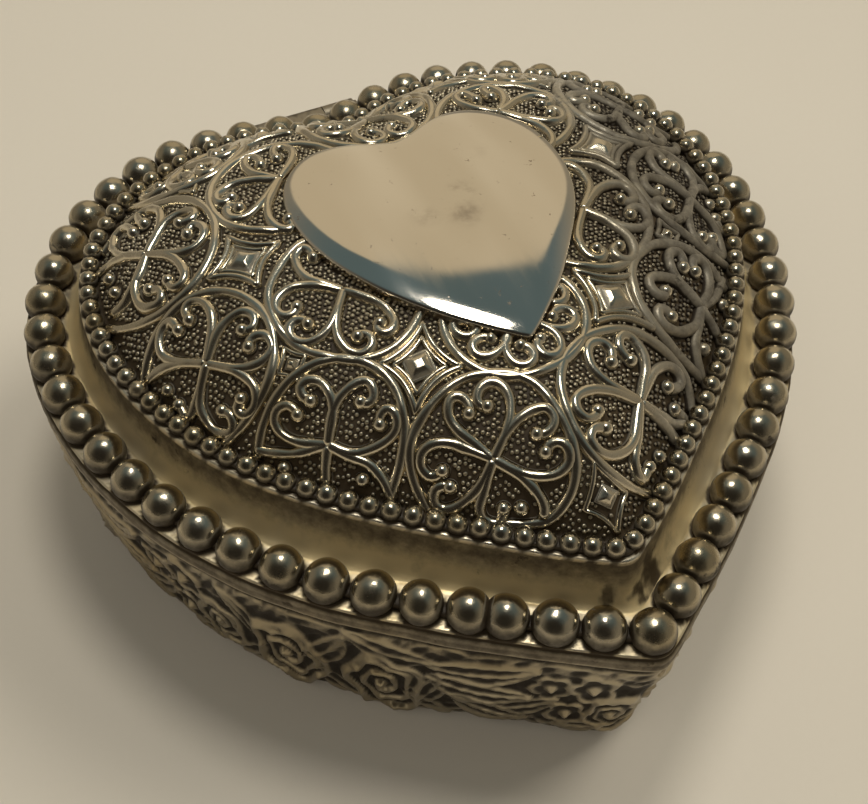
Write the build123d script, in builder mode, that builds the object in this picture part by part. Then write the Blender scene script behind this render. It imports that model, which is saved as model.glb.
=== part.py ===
from build123d import *
import math
import os

os.makedirs("parts", exist_ok=True)

# ---------------------------------------------------------------------------
# Heart-shaped trinket box: cast base, hinged cast lid, lined inside.
# Millimetres, +Z up, the heart's point towards -Y, its cleft towards +Y.
# The base's felt stands on Z = 0.
# ---------------------------------------------------------------------------

YC = 2.505                # shift that centres the closed box on Y = 0

# heights
felt_t = 0.8              # felt under the base
base_z = felt_t           # underside of the base casting
parting_z = 25.8          # lid flange rests on the base shoulder here
bead_plane = 29.8         # centres of the large beads
ledge_z = bead_plane - 1.2
shelf_z = bead_plane + 5.6
crown_z = bead_plane + 15.8
plaque_seat_z = bead_plane + 14.9
plaque_crown_z = bead_plane + 18.3

# base casting
floor_t = 1.6
base_top_out = 1.8        # outer wall, outwards from the bead line at the top
base_bot_out = -2.3       # and at the bottom
lip_out = -0.1            # locating lip, outer face
lip_in = -1.5
lip_top_z = bead_plane - 2.5
wall_in_bot = -4.6

# lid casting
flange_out = 2.6
flange_in = 0.25
lid_under_z = bead_plane - 2.2
card_seat_z = bead_plane - 0.6
seat_in = -3.6
cavity_in = -4.6
dome_power = 4.5

# beading
bead_r = 2.5
bead_count = 56
crowded_pitch = 3.9       # the two beads either side of the wire's join
pearl_r = 1.15
pearl_count = 104
pearl_plane = shelf_z + 0.7

# plaque
plaque_crown_r = 122.0

# hinge
pin_y = 51.2 - YC
pin_z = parting_z
pin_r = 0.7
bore_clear = 0.05
knuckle_r = 1.5
hinge_half = 8.0
centre_half = 3.0
knuckle_gap = 0.15
leaf_t = 0.9

# lining
card_t = 1.0
pad_t = 3.0
wall_lining_t = 1.0
lining_gap = 0.12

# ---------------------------------------------------------------------------
# Half outlines, point to cleft, X >= 0
# ---------------------------------------------------------------------------
BEAD_LINE = [
    (0.0, -45.07), (4.74, -42.14), (8.90, -39.45), (13.13, -36.58), (16.95, -33.85),
    (21.98, -30.05), (27.74, -25.27), (33.32, -19.61), (38.04, -13.27), (41.73, -6.52),
    (44.39, 0.41), (46.06, 7.50), (46.74, 14.72), (46.23, 21.67), (44.33, 27.92),
    (41.35, 33.35), (37.61, 37.92), (33.07, 41.71), (27.66, 44.74), (21.67, 46.66),
    (15.50, 47.16), (9.67, 46.56), (4.61, 45.30), (0.0, 43.73),
]
PEARL_LINE = [
    (0.0, -37.82), (1.47, -36.96), (5.55, -34.40), (9.59, -31.48), (13.16, -28.72),
    (17.94, -24.96), (23.25, -20.39), (28.32, -15.32), (32.74, -9.86), (36.17, -3.94),
    (38.62, 2.19), (40.20, 8.46), (40.64, 14.79), (39.93, 20.50), (38.29, 25.40),
    (35.78, 29.61), (32.62, 32.98), (28.84, 35.60), (24.51, 37.60), (20.11, 38.90),
    (15.56, 39.49), (10.91, 39.31), (6.20, 38.25), (0.0, 36.16),
]
PLAQUE = [
    (0.0, -15.2), (2.65, -13.2), (5.2, -11.0), (7.6, -8.6), (9.9, -5.8), (12.1, -2.6),
    (13.9, 0.7), (15.4, 4.3), (16.35, 8.1), (16.6, 11.8), (16.1, 15.2), (14.7, 18.1),
    (12.5, 20.3), (9.9, 21.4), (7.2, 21.3), (4.4, 20.2), (2.0, 18.9), (0.0, 18.2),
]


def shifted(half, out):
    """Half outline moved outwards by out, its ends kept on the symmetry plane."""
    n = len(half)
    moved = []
    for i in range(n):
        ax, ay = half[max(i - 1, 0)]
        bx, by = half[min(i + 1, n - 1)]
        tx, ty = bx - ax, by - ay
        m = math.hypot(tx, ty)
        tx, ty = tx / m, ty / m
        x, y = half[i][0] + out * ty, half[i][1] - out * tx
        if i == 0 or i == n - 1:
            y -= x * ty / tx
            x = 0.0
        moved.append((x, y))
    return moved


def blend(half_a, half_b, w):
    """Half outline a share w of the way from one outline to another."""
    return [(a[0] + w * (b[0] - a[0]), a[1] + w * (b[1] - a[1])) for a, b in zip(half_a, half_b)]


def scaled(half, s, centre_y=4.0):
    """Half outline shrunk towards the middle of the dome."""
    return [(s * x, centre_y + s * (y - centre_y)) for x, y in half]


def closed(half, r_point=2.5, r_cleft=4.0):
    """Closed outline, both sides, with rounded point and rounded cleft."""
    x0, y0 = half[0]
    x1, y1 = half[1]
    m = math.hypot(x1 - x0, y1 - y0)
    tx, ty = (x1 - x0) / m, (y1 - y0) / m
    a = math.atan2(ty, tx)
    cy = y0 + r_point / math.cos(a)
    start = [(0.0, cy - r_point)]
    start += [(r_point * math.sin(a * k), cy - r_point * math.cos(a * k)) for k in (0.5, 1.0)]
    xk, yk = half[-1]
    xj, yj = half[-2]
    m = math.hypot(xk - xj, yk - yj)
    b = math.atan2(yj - yk, xj - xk)
    ck = yk + r_cleft / math.cos(b)
    end = [(r_cleft * math.sin(b * k), ck - r_cleft * math.cos(b * k)) for k in (1.0, 0.5)]
    mid = [p for p in half[1:-1] if p[0] > start[-1][0] + 0.9 and not (p[1] > y0 + 20 and p[0] < end[0][0] + 0.9)]
    right = start[1:] + mid + end
    ring = [start[0]] + right + [(0.0, ck - r_cleft)] + [(-x, y) for x, y in reversed(right)]
    return [(x, y - YC) for x, y in ring]


# ---------------------------------------------------------------------------
# Base
# ---------------------------------------------------------------------------
bead_half = BEAD_LINE
pearl_half = PEARL_LINE

with BuildPart() as base_shell:
    for z, out in ((base_z, base_bot_out), (parting_z, base_top_out)):
        with BuildSketch(Plane.XY.offset(z)):
            with BuildLine():
                Spline(*closed(shifted(bead_half, out)), periodic=True)
            make_face()
    loft(ruled=True)
    with BuildSketch(Plane.XY.offset(parting_z - 1.0)):
        with BuildLine():
            Spline(*closed(shifted(bead_half, lip_out)), periodic=True)
        make_face()
    extrude(amount=lip_top_z - parting_z + 1.0)
    for z, out in ((base_z + floor_t, wall_in_bot), (lip_top_z, lip_in)):
        with BuildSketch(Plane.XY.offset(z)):
            with BuildLine():
                Spline(*closed(shifted(bead_half, out)), periodic=True)
            make_face()
    loft(ruled=True, mode=Mode.SUBTRACT)
base_shell.part.label = "base_shell"

with BuildPart() as base_felt:
    with BuildSketch(Plane.XY):
        with BuildLine():
            Spline(*closed(shifted(bead_half, base_bot_out - 1.0)), periodic=True)
        make_face()
    extrude(amount=felt_t)
base_felt.part.label = "base_felt"


def wall_in(z):
    """Inner face of the base wall at height z, outwards from the bead line."""
    w = (z - base_z - floor_t) / (lip_top_z - base_z - floor_t)
    return wall_in_bot + w * (lip_in - wall_in_bot)


floor_z = base_z + floor_t
with BuildPart() as floor_card:
    with BuildSketch(Plane.XY.offset(floor_z)):
        with BuildLine():
            Spline(*closed(shifted(bead_half, wall_in(floor_z) - lining_gap)), periodic=True)
        make_face()
    extrude(amount=card_t)
floor_card.part.label = "floor_card"

pad_z = floor_z + card_t
lining_foot_z = pad_z
lining_top_z = parting_z - 0.6
with BuildPart() as wall_lining:
    for z in (lining_foot_z, lining_top_z):
        with BuildSketch(Plane.XY.offset(z)):
            with BuildLine():
                Spline(*closed(shifted(bead_half, wall_in(z) - lining_gap)), periodic=True)
            make_face()
    loft(ruled=True)
    for z in (lining_foot_z - 1.0, lining_top_z + 1.0):
        with BuildSketch(Plane.XY.offset(z)):
            with BuildLine():
                Spline(*closed(shifted(bead_half, wall_in(z) - lining_gap - wall_lining_t)), periodic=True)
            make_face()
    loft(ruled=True, mode=Mode.SUBTRACT)
wall_lining.part.label = "wall_lining"

with BuildPart() as floor_pad:
    for z, out in ((pad_z, -0.35), (pad_z + 1.6, -0.35), (pad_z + pad_t, -2.2)):
        with BuildSketch(Plane.XY.offset(z)):
            with BuildLine():
                Spline(*closed(shifted(bead_half, wall_in(pad_z) - lining_gap - wall_lining_t + out)), periodic=True)
            make_face()
    loft(ruled=True)
floor_pad.part.label = "floor_pad"

# ---------------------------------------------------------------------------
# Lid
# ---------------------------------------------------------------------------
ledge_in = shifted(bead_half, -2.6)
shelf_out = shifted(pearl_half, 1.3)
dome_foot = shifted(pearl_half, -1.2)
cavity_foot = shifted(pearl_half, -2.6)

with BuildPart() as lid_shell:
    # flange and ledge
    with BuildSketch(Plane.XY.offset(parting_z)):
        with BuildLine():
            Spline(*closed(shifted(bead_half, flange_out)), periodic=True)
        make_face()
    extrude(amount=ledge_z - parting_z)
    # cove
    for w, z in ((0.0, ledge_z - 0.2), (0.34, ledge_z + 0.55), (0.62, ledge_z + 1.9), (0.86, ledge_z + 4.2), (1.0, shelf_z)):
        with BuildSketch(Plane.XY.offset(z)):
            with BuildLine():
                Spline(*closed(blend(ledge_in, shelf_out, w)), periodic=True)
            make_face()
    loft()
    # dome
    for s in (1.0, 0.955, 0.90, 0.83, 0.73, 0.60, 0.44, 0.26):
        with BuildSketch(Plane.XY.offset(shelf_z + (crown_z - shelf_z) * (1 - s ** dome_power) - (0.2 if s == 1.0 else 0.0))):
            with BuildLine():
                Spline(*closed(scaled(dome_foot, s), 2.5 * s, 4.0 * s), periodic=True)
            make_face()
    loft()
    # hollow of the dome
    with BuildSketch(Plane.XY.offset(card_seat_z)):
        with BuildLine():
            Spline(*closed(shifted(bead_half, cavity_in)), periodic=True)
        make_face()
    with BuildSketch(Plane.XY.offset(shelf_z - 2.4)):
        with BuildLine():
            Spline(*closed(shifted(pearl_half, -0.6)), periodic=True)
        make_face()
    for s in (0.96, 0.88, 0.76, 0.60, 0.40):
        with BuildSketch(Plane.XY.offset(shelf_z - 1.5 + (crown_z - shelf_z - 0.4) * (1 - s ** dome_power))):
            with BuildLine():
                Spline(*closed(scaled(cavity_foot, s), 2.5 * s, 4.0 * s), periodic=True)
            make_face()
    loft(mode=Mode.SUBTRACT)
    # seat of the lining card, and the recess that drops over the base's lip
    with BuildSketch(Plane.XY.offset(parting_z)):
        with BuildLine():
            Spline(*closed(shifted(bead_half, seat_in)), periodic=True)
        make_face()
    extrude(amount=card_seat_z - parting_z, mode=Mode.SUBTRACT)
    with BuildSketch(Plane.XY.offset(parting_z)):
        with BuildLine():
            Spline(*closed(shifted(bead_half, flange_in)), periodic=True)
        make_face()
    extrude(amount=lid_under_z - parting_z, mode=Mode.SUBTRACT)
    # pocket of the plaque
    with BuildSketch(Plane.XY.offset(plaque_seat_z)):
        with BuildLine():
            Spline(*closed(PLAQUE, 0.5, 1.0), periodic=True)
        make_face()
    extrude(amount=6.0, mode=Mode.SUBTRACT)
lid_shell.part.label = "lid_shell"

with BuildPart() as heart_plaque:
    with BuildSketch(Plane.XY.offset(plaque_seat_z)):
        with BuildLine():
            Spline(*closed(PLAQUE, 0.5, 1.0), periodic=True)
        make_face()
    extrude(amount=6.0)
    with Locations((0, 4.0 - YC, plaque_crown_z - plaque_crown_r)):
        Sphere(plaque_crown_r, mode=Mode.INTERSECT)
heart_plaque.part.label = "heart_plaque"

# beaded wire round the rim: spheres strung on a thin wire, flat where they sit
with BuildLine() as rim_line:
    rim_curve = Spline(*closed(bead_half, 2.0, 4.0), periodic=True)
rim_length = rim_curve.length
pitch = (rim_length - crowded_pitch) / (bead_count - 1)
rim_stations = []
run = 0.0
for i in range(bead_count):
    rim_stations.append(run / rim_length)
    run += crowded_pitch if i == bead_count - 4 else pitch
rim_points = [rim_curve @ t for t in rim_stations]

with BuildPart() as rim_beading:
    with BuildSketch(Plane.XY.offset(ledge_z)):
        with BuildLine():
            Spline(*closed(shifted(bead_half, 0.8)), periodic=True)
        make_face()
        with BuildLine():
            Spline(*closed(shifted(bead_half, -0.8)), periodic=True)
        make_face(mode=Mode.SUBTRACT)
    extrude(amount=1.0)
    with Locations(*[(p.X, p.Y, bead_plane) for p in rim_points]):
        Sphere(bead_r)
    split(bisect_by=Plane.XY.offset(ledge_z), keep=Keep.TOP)
rim_beading.part.label = "rim_beading"

with BuildLine() as pearl_path:
    pearl_curve = Spline(*closed(pearl_half, 1.5, 4.0), periodic=True)
pearl_points = [pearl_curve @ ((i + 0.5) / pearl_count) for i in range(pearl_count)]

with BuildPart() as pearl_beading:
    with BuildSketch(Plane.XY.offset(shelf_z)):
        with BuildLine():
            Spline(*closed(shifted(pearl_half, 0.7), 1.5), periodic=True)
        make_face()
        with BuildLine():
            Spline(*closed(shifted(pearl_half, -0.7), 1.5), periodic=True)
        make_face(mode=Mode.SUBTRACT)
    extrude(amount=0.6)
    with Locations(*[(p.X, p.Y, pearl_plane) for p in pearl_points]):
        Sphere(pearl_r)
    split(bisect_by=Plane.XY.offset(shelf_z), keep=Keep.TOP)
pearl_beading.part.label = "pearl_beading"

# lining of the lid: a card on its seat with a thin pad under it
with BuildPart() as lid_card:
    with BuildSketch(Plane.XY.offset(card_seat_z - card_t)):
        with BuildLine():
            Spline(*closed(shifted(bead_half, seat_in - lining_gap)), periodic=True)
        make_face()
    extrude(amount=card_t)
lid_card.part.label = "lid_card"

with BuildPart() as lid_pad:
    for z, out in ((card_seat_z - card_t, -0.6), (card_seat_z - card_t - 0.7, -0.6), (card_seat_z - card_t - 1.4, -1.8)):
        with BuildSketch(Plane.XY.offset(z)):
            with BuildLine():
                Spline(*closed(shifted(bead_half, seat_in + out)), periodic=True)
            make_face()
    loft(ruled=True)
lid_pad.part.label = "lid_pad"

# ---------------------------------------------------------------------------
# Hinge behind the cleft
# ---------------------------------------------------------------------------
with BuildPart() as base_leaf:
    # plate that follows the back of the base
    for z in (parting_z - 7.0, parting_z - 0.3):
        w = (z - base_z) / (parting_z - base_z)
        with BuildSketch(Plane.XY.offset(z)):
            with BuildLine():
                Spline(*closed(shifted(bead_half, base_bot_out + w * (base_top_out - base_bot_out) + leaf_t)), periodic=True)
            make_face()
    loft(ruled=True)
    with Locations((0, pin_y - 3.0, parting_z - 3.65)):
        Box(2 * hinge_half, 12.0, 6.7, mode=Mode.INTERSECT)
    # arms and outer knuckles
    for x in (-(centre_half + knuckle_gap + hinge_half) / 2, (centre_half + knuckle_gap + hinge_half) / 2):
        length = hinge_half - centre_half - knuckle_gap
        with Locations((x, pin_y - 2.6, pin_z - 0.9)):
            Box(length, 5.2, 1.2)
        with Locations(Location((x, pin_y, pin_z), (0, 90, 0))):
            Cylinder(knuckle_r, length)
    # nothing inside the casting, above the shoulder under the flange, or in the bore
    for z, out in ((base_z - 1.0, base_bot_out - (base_top_out - base_bot_out) / (parting_z - base_z)),
                   (parting_z + 1.0, base_top_out + (base_top_out - base_bot_out) / (parting_z - base_z))):
        with BuildSketch(Plane.XY.offset(z)):
            with BuildLine():
                Spline(*closed(shifted(bead_half, out)), periodic=True)
            make_face()
    loft(ruled=True, mode=Mode.SUBTRACT)
    with Locations(Location((0, pin_y, pin_z), (0, 90, 0))):
        Cylinder(pin_r, 40.0, mode=Mode.SUBTRACT)
base_leaf.part.label = "base_leaf"

with BuildPart() as lid_leaf:
    with BuildSketch(Plane.XY.offset(parting_z + 0.2)):
        with BuildLine():
            Spline(*closed(shifted(bead_half, flange_out + leaf_t)), periodic=True)
        make_face()
    extrude(amount=2.4)
    with Locations((0, pin_y - 3.0, parting_z + 1.4)):
        Box(2 * hinge_half - 2.0, 12.0, 2.4, mode=Mode.INTERSECT)
    with Locations((0, pin_y - 2.4, pin_z + 0.9)):
        Box(2 * centre_half, 4.8, 1.2)
    with Locations(Location((0, pin_y, pin_z), (0, 90, 0))):
        Cylinder(knuckle_r, 2 * centre_half)
    with BuildSketch(Plane.XY.offset(parting_z - 2.0)):
        with BuildLine():
            Spline(*closed(shifted(bead_half, flange_out)), periodic=True)
        make_face()
    extrude(amount=8.0, mode=Mode.SUBTRACT)
    with Locations(Location((0, pin_y, pin_z), (0, 90, 0))):
        Cylinder(pin_r + bore_clear, 40.0, mode=Mode.SUBTRACT)
lid_leaf.part.label = "lid_leaf"

with BuildPart() as hinge_pin:
    with Locations(Location((0, pin_y, pin_z), (0, 90, 0))):
        Cylinder(pin_r, 2 * hinge_half)
    for x in (-hinge_half - 0.3, hinge_half + 0.3):
        with Locations(Location((x, pin_y, pin_z), (0, 90, 0))):
            Cylinder(1.1, 0.6)
hinge_pin.part.label = "hinge_pin"

# ---------------------------------------------------------------------------
pieces = {
    "base_shell": base_shell, "base_felt": base_felt, "floor_card": floor_card,
    "floor_pad": floor_pad, "wall_lining": wall_lining, "base_leaf": base_leaf,
    "hinge_pin": hinge_pin, "lid_shell": lid_shell, "rim_beading": rim_beading,
    "pearl_beading": pearl_beading, "heart_plaque": heart_plaque, "lid_card": lid_card,
    "lid_pad": lid_pad, "lid_leaf": lid_leaf,
}
for name, piece in pieces.items():
    export_step(piece.part, "parts/" + name + ".step")
    box = piece.part.bounding_box()
    print(name, len(piece.part.solids()), round(piece.part.volume, 1),
          [round(v, 2) for v in (box.min.X, box.min.Y, box.min.Z, box.max.X, box.max.Y, box.max.Z)])
print("rim length", round(rim_length, 2), "pitch", round(pitch, 3), "pearl path", round(pearl_curve.length, 2))
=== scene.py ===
import math
import bpy
import numpy as np
from mathutils import Matrix, Vector


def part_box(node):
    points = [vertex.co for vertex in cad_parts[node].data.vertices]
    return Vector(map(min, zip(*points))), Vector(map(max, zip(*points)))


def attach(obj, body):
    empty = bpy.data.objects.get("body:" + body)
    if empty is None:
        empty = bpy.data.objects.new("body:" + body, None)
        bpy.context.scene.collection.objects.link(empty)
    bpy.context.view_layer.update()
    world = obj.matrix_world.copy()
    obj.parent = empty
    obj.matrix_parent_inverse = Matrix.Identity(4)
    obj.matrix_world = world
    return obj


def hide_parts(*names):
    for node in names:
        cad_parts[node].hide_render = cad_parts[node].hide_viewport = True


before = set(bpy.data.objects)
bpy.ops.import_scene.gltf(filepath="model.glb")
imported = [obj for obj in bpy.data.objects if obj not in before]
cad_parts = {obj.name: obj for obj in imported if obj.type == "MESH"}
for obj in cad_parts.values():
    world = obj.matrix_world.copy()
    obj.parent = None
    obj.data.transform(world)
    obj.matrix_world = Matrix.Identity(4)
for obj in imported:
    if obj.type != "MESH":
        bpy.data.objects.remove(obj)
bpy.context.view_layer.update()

MM = 0.001
RNG = np.random.default_rng(7)

# ---------------------------------------------------------------------------
# Design tables, millimetres, row frame (Z up, felt on Z = 0)
# ---------------------------------------------------------------------------
def level(node, end):
    """Height of a node's underside (0) or top (1)."""
    return round(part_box(node)[end][2] / MM, 1)


YC = 2.505
CY = 4.0 - YC                 # middle of the dome
BASE_Z = level("base_shell", 0)
PARTING_Z = level("lid_shell", 0)
LEDGE_Z = level("rim_beading", 0)
SHELF_Z = level("pearl_beading", 0)
CROWN_H = 10.2
DOME_POWER = 4.5
BEAD_R = 2.5
BEAD_PLANE = level("rim_beading", 1) - BEAD_R
BEAD_COUNT = 56
CROWDED = 3.9
PEARL_R = 1.15
PEARL_COUNT = 104
PLAQUE_SEAT = level("heart_plaque", 0)
PLAQUE_TOP = level("heart_plaque", 1)
PLAQUE_R = 122.0
BASE_TOP_OUT = 1.8
BASE_BOT_OUT = -2.3

BEAD_LINE = [
    (0.0, -45.07), (4.74, -42.14), (8.90, -39.45), (13.13, -36.58), (16.95, -33.85),
    (21.98, -30.05), (27.74, -25.27), (33.32, -19.61), (38.04, -13.27), (41.73, -6.52),
    (44.39, 0.41), (46.06, 7.50), (46.74, 14.72), (46.23, 21.67), (44.33, 27.92),
    (41.35, 33.35), (37.61, 37.92), (33.07, 41.71), (27.66, 44.74), (21.67, 46.66),
    (15.50, 47.16), (9.67, 46.56), (4.61, 45.30), (0.0, 43.73),
]
PEARL_LINE = [
    (0.0, -37.82), (1.47, -36.96), (5.55, -34.40), (9.59, -31.48), (13.16, -28.72),
    (17.94, -24.96), (23.25, -20.39), (28.32, -15.32), (32.74, -9.86), (36.17, -3.94),
    (38.62, 2.19), (40.20, 8.46), (40.64, 14.79), (39.93, 20.50), (38.29, 25.40),
    (35.78, 29.61), (32.62, 32.98), (28.84, 35.60), (24.51, 37.60), (20.11, 38.90),
    (15.56, 39.49), (10.91, 39.31), (6.20, 38.25), (0.0, 36.16),
]
PLAQUE = [
    (0.0, -15.2), (2.65, -13.2), (5.2, -11.0), (7.6, -8.6), (9.9, -5.8), (12.1, -2.6),
    (13.9, 0.7), (15.4, 4.3), (16.35, 8.1), (16.6, 11.8), (16.1, 15.2), (14.7, 18.1),
    (12.5, 20.3), (9.9, 21.4), (7.2, 21.3), (4.4, 20.2), (2.0, 18.9), (0.0, 18.2),
]


# ---------------------------------------------------------------------------
# Outlines
# ---------------------------------------------------------------------------
def shifted(half, out):
    n = len(half)
    moved = []
    for i in range(n):
        ax, ay = half[max(i - 1, 0)]
        bx, by = half[min(i + 1, n - 1)]
        tx, ty = bx - ax, by - ay
        m = math.hypot(tx, ty)
        tx, ty = tx / m, ty / m
        x, y = half[i][0] + out * ty, half[i][1] - out * tx
        if i == 0 or i == n - 1:
            y -= x * ty / tx
            x = 0.0
        moved.append((x, y))
    return moved


def blended(a, b, w):
    return [(p[0] + w * (q[0] - p[0]), p[1] + w * (q[1] - p[1])) for p, q in zip(a, b)]


def closed(half, r_point=2.5, r_cleft=4.0):
    x0, y0 = half[0]
    x1, y1 = half[1]
    m = math.hypot(x1 - x0, y1 - y0)
    a = math.atan2((y1 - y0) / m, (x1 - x0) / m)
    cy = y0 + r_point / math.cos(a)
    start = [(0.0, cy - r_point)]
    start += [(r_point * math.sin(a * k), cy - r_point * math.cos(a * k)) for k in (0.5, 1.0)]
    xk, yk = half[-1]
    xj, yj = half[-2]
    b = math.atan2(yj - yk, xj - xk)
    ck = yk + r_cleft / math.cos(b)
    end = [(r_cleft * math.sin(b * k), ck - r_cleft * math.cos(b * k)) for k in (1.0, 0.5)]
    mid = [p for p in half[1:-1] if p[0] > start[-1][0] + 0.9 and not (p[1] > y0 + 20 and p[0] < end[0][0] + 0.9)]
    right = start[1:] + mid + end
    ring = [start[0]] + right + [(0.0, ck - r_cleft)] + [(-x, y) for x, y in reversed(right)]
    return np.array([(x, y - YC) for x, y in ring])


def smooth_loop(points, per=36):
    """Dense points of the closed cubic through the given ones, by chord length."""
    p = np.asarray(points, float)
    n = len(p)
    d = np.linalg.norm(np.roll(p, -1, 0) - p, axis=1)
    m = np.zeros((n, n))
    rhs = np.zeros((n, 2))
    for i in range(n):
        h0, h1 = d[i - 1], d[i]
        m[i, i - 1] += h0
        m[i, i] += 2 * (h0 + h1)
        m[i, (i + 1) % n] += h1
        rhs[i] = 6 * ((p[(i + 1) % n] - p[i]) / h1 - (p[i] - p[i - 1]) / h0)
    k = np.linalg.solve(m, rhs)
    out = []
    for i in range(n):
        j = (i + 1) % n
        h = d[i]
        t = (np.arange(per) / per * h)[:, None]
        out.append(k[i] * (h - t) ** 3 / (6 * h) + k[j] * t ** 3 / (6 * h)
                   + (p[i] / h - k[i] * h / 6) * (h - t) + (p[j] / h - k[j] * h / 6) * t)
    return np.vstack(out)


def stations(loop, at):
    """Points at the given distances along a dense closed loop."""
    q = np.vstack([loop, loop[:1]])
    s = np.r_[0, np.cumsum(np.linalg.norm(np.diff(q, axis=0), axis=1))]
    at = np.asarray(at) % s[-1]
    return np.stack([np.interp(at, s, q[:, k]) for k in (0, 1)], -1)


def length(loop):
    return float(np.linalg.norm(np.diff(np.vstack([loop, loop[:1]]), axis=0), axis=1).sum())


class Radial:
    """An outline as a distance from the middle of the dome at each bearing."""

    def __init__(self, loop):
        a = np.arctan2(loop[:, 1] - CY, loop[:, 0])
        r = np.hypot(loop[:, 0], loop[:, 1] - CY)
        o = np.argsort(a)
        self.a = np.concatenate([a[o] - 2 * np.pi, a[o], a[o] + 2 * np.pi])
        self.r = np.tile(r[o], 3)

    def __call__(self, bearing):
        return np.interp(np.arctan2(np.sin(bearing), np.cos(bearing)), self.a, self.r)


def radial(half, r_point=2.5, r_cleft=4.0):
    return Radial(smooth_loop(closed(half, r_point, r_cleft)))


bead_loop = smooth_loop(closed(BEAD_LINE, 2.0, 4.0))
pearl_loop = smooth_loop(closed(PEARL_LINE, 1.5, 4.0))
foot_r = radial(shifted(PEARL_LINE, -1.2))
shelf_r = radial(shifted(PEARL_LINE, 1.3))


def smoothstep(a, b, x):
    t = np.clip((x - a) / (b - a), 0, 1)
    return t * t * (3 - 2 * t)


# ---------------------------------------------------------------------------
# Smooth repeatable noise on any set of points
# ---------------------------------------------------------------------------
def waves(points, size, seed, count=14):
    """Sum of plane waves of about that size in mm, from -1 to 1."""
    g = np.random.default_rng(seed)
    dirs = g.normal(size=(count, points.shape[1]))
    dirs /= np.linalg.norm(dirs, axis=1)[:, None]
    freq = 2 * np.pi / (size * g.uniform(0.6, 1.7, count))
    phase = g.uniform(0, 2 * np.pi, count)
    total = np.zeros(len(points))
    for d, f, ph in zip(dirs, freq, phase):
        total += np.sin(points @ d * f + ph)
    return total / math.sqrt(count) * 0.8


# ---------------------------------------------------------------------------
# Meshes
# ---------------------------------------------------------------------------
class Soup:
    """Points in mm, faces, and two values for each point: brassy tarnish, and a dark value that holds tarnish in
    hollows and also painted shade.
    """

    def __init__(self):
        self.co, self.quads, self.tris, self.grime, self.tarn, self.n = [], [], [], [], [], 0

    def add(self, co, quads=None, tris=None, grime=0.0, tarn=0.0):
        co = np.asarray(co, float).reshape(-1, 3)
        self.co.append(co)
        if quads is not None and len(quads):
            self.quads.append(np.asarray(quads, np.int64).reshape(-1, 4) + self.n)
        if tris is not None and len(tris):
            self.tris.append(np.asarray(tris, np.int64).reshape(-1, 3) + self.n)
        self.grime.append(np.broadcast_to(np.asarray(grime, float).ravel(), (len(co),)) if np.size(grime) > 1 else np.full(len(co), float(grime)))
        self.tarn.append(np.broadcast_to(np.asarray(tarn, float).ravel(), (len(co),)) if np.size(tarn) > 1 else np.full(len(co), float(tarn)))
        self.n += len(co)

    def build(self, name, body, material, replaces=()):
        co = np.vstack(self.co)
        faces = []
        for q in self.quads:
            faces += q.tolist()
        for t in self.tris:
            faces += t.tolist()
        me = bpy.data.meshes.new(name)
        me.from_pydata((co * MM).tolist(), [], faces)
        me.validate()
        me.update()
        me.polygons.foreach_set("use_smooth", np.ones(len(me.polygons), bool))
        for key, parts in (("grime", self.grime), ("tarn", self.tarn)):
            at = me.attributes.new(key, "FLOAT", "POINT")
            at.data.foreach_set("value", np.concatenate(parts).astype(np.float32))
        ob = bpy.data.objects.new(name, me)
        bpy.context.scene.collection.objects.link(ob)
        me.materials.append(material)
        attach(ob, body)
        if replaces:
            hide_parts(*replaces)
        return ob


def grid_faces(rows, cols, wrap_cols=True, wrap_rows=False):
    """Quads of a rows x cols grid of points, outwards when rows go up and columns anticlockwise."""
    i = np.arange(rows if wrap_rows else rows - 1)
    j = np.arange(cols if wrap_cols else cols - 1)
    i, j = np.meshgrid(i, j, indexing="ij")
    i2, j2 = (i + 1) % rows, (j + 1) % cols
    return np.stack([i * cols + j, i * cols + j2, i2 * cols + j2, i2 * cols + j], -1).reshape(-1, 4)


def fan(first, count, centre, flip=False):
    j = np.arange(count)
    a, b = first + j, first + (j + 1) % count
    c = np.full(count, centre)
    return np.stack([b, a, c] if flip else [a, b, c], -1)


def ring_points(r, z, bearings):
    return np.stack([r * np.cos(bearings), CY + r * np.sin(bearings), np.broadcast_to(z, r.shape)], -1)


def uv_ball(nu, nv):
    """Unit ball: points, quads, triangles."""
    pts = [(0, 0, -1)]
    for i in range(1, nv):
        a = math.pi * i / nv - math.pi / 2
        for j in range(nu):
            b = 2 * math.pi * j / nu
            pts.append((math.cos(a) * math.cos(b), math.cos(a) * math.sin(b), math.sin(a)))
    pts.append((0, 0, 1))
    quads = []
    for i in range(nv - 2):
        for j in range(nu):
            k = 1 + i * nu
            quads.append((k + j, k + (j + 1) % nu, k + nu + (j + 1) % nu, k + nu + j))
    last = len(pts) - 1
    tris = [((1 + (j + 1) % nu), 1 + j, 0) for j in range(nu)]
    k = 1 + (nv - 2) * nu
    tris += [(k + j, k + (j + 1) % nu, last) for j in range(nu)]
    return np.array(pts, float), np.array(quads), np.array(tris)


# ---------------------------------------------------------------------------
# The dome as a height over the plan
# ---------------------------------------------------------------------------
def dome_s(xy):
    return np.hypot(xy[:, 0], xy[:, 1] - CY) / foot_r(np.arctan2(xy[:, 1] - CY, xy[:, 0]))


def dome_z(xy):
    return SHELF_Z + CROWN_H * (1 - np.clip(dome_s(xy), 0, 1) ** DOME_POWER)


def on_dome(xy):
    """Ground points and outward normals at plan points."""
    e = 0.08
    z = dome_z(xy)
    zx = (dome_z(xy + [e, 0]) - dome_z(xy - [e, 0])) / (2 * e)
    zy = (dome_z(xy + [0, e]) - dome_z(xy - [0, e])) / (2 * e)
    n = np.stack([-zx, -zy, np.ones(len(xy))], -1)
    n /= np.linalg.norm(n, axis=1)[:, None]
    return np.column_stack([xy, z]), n
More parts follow.
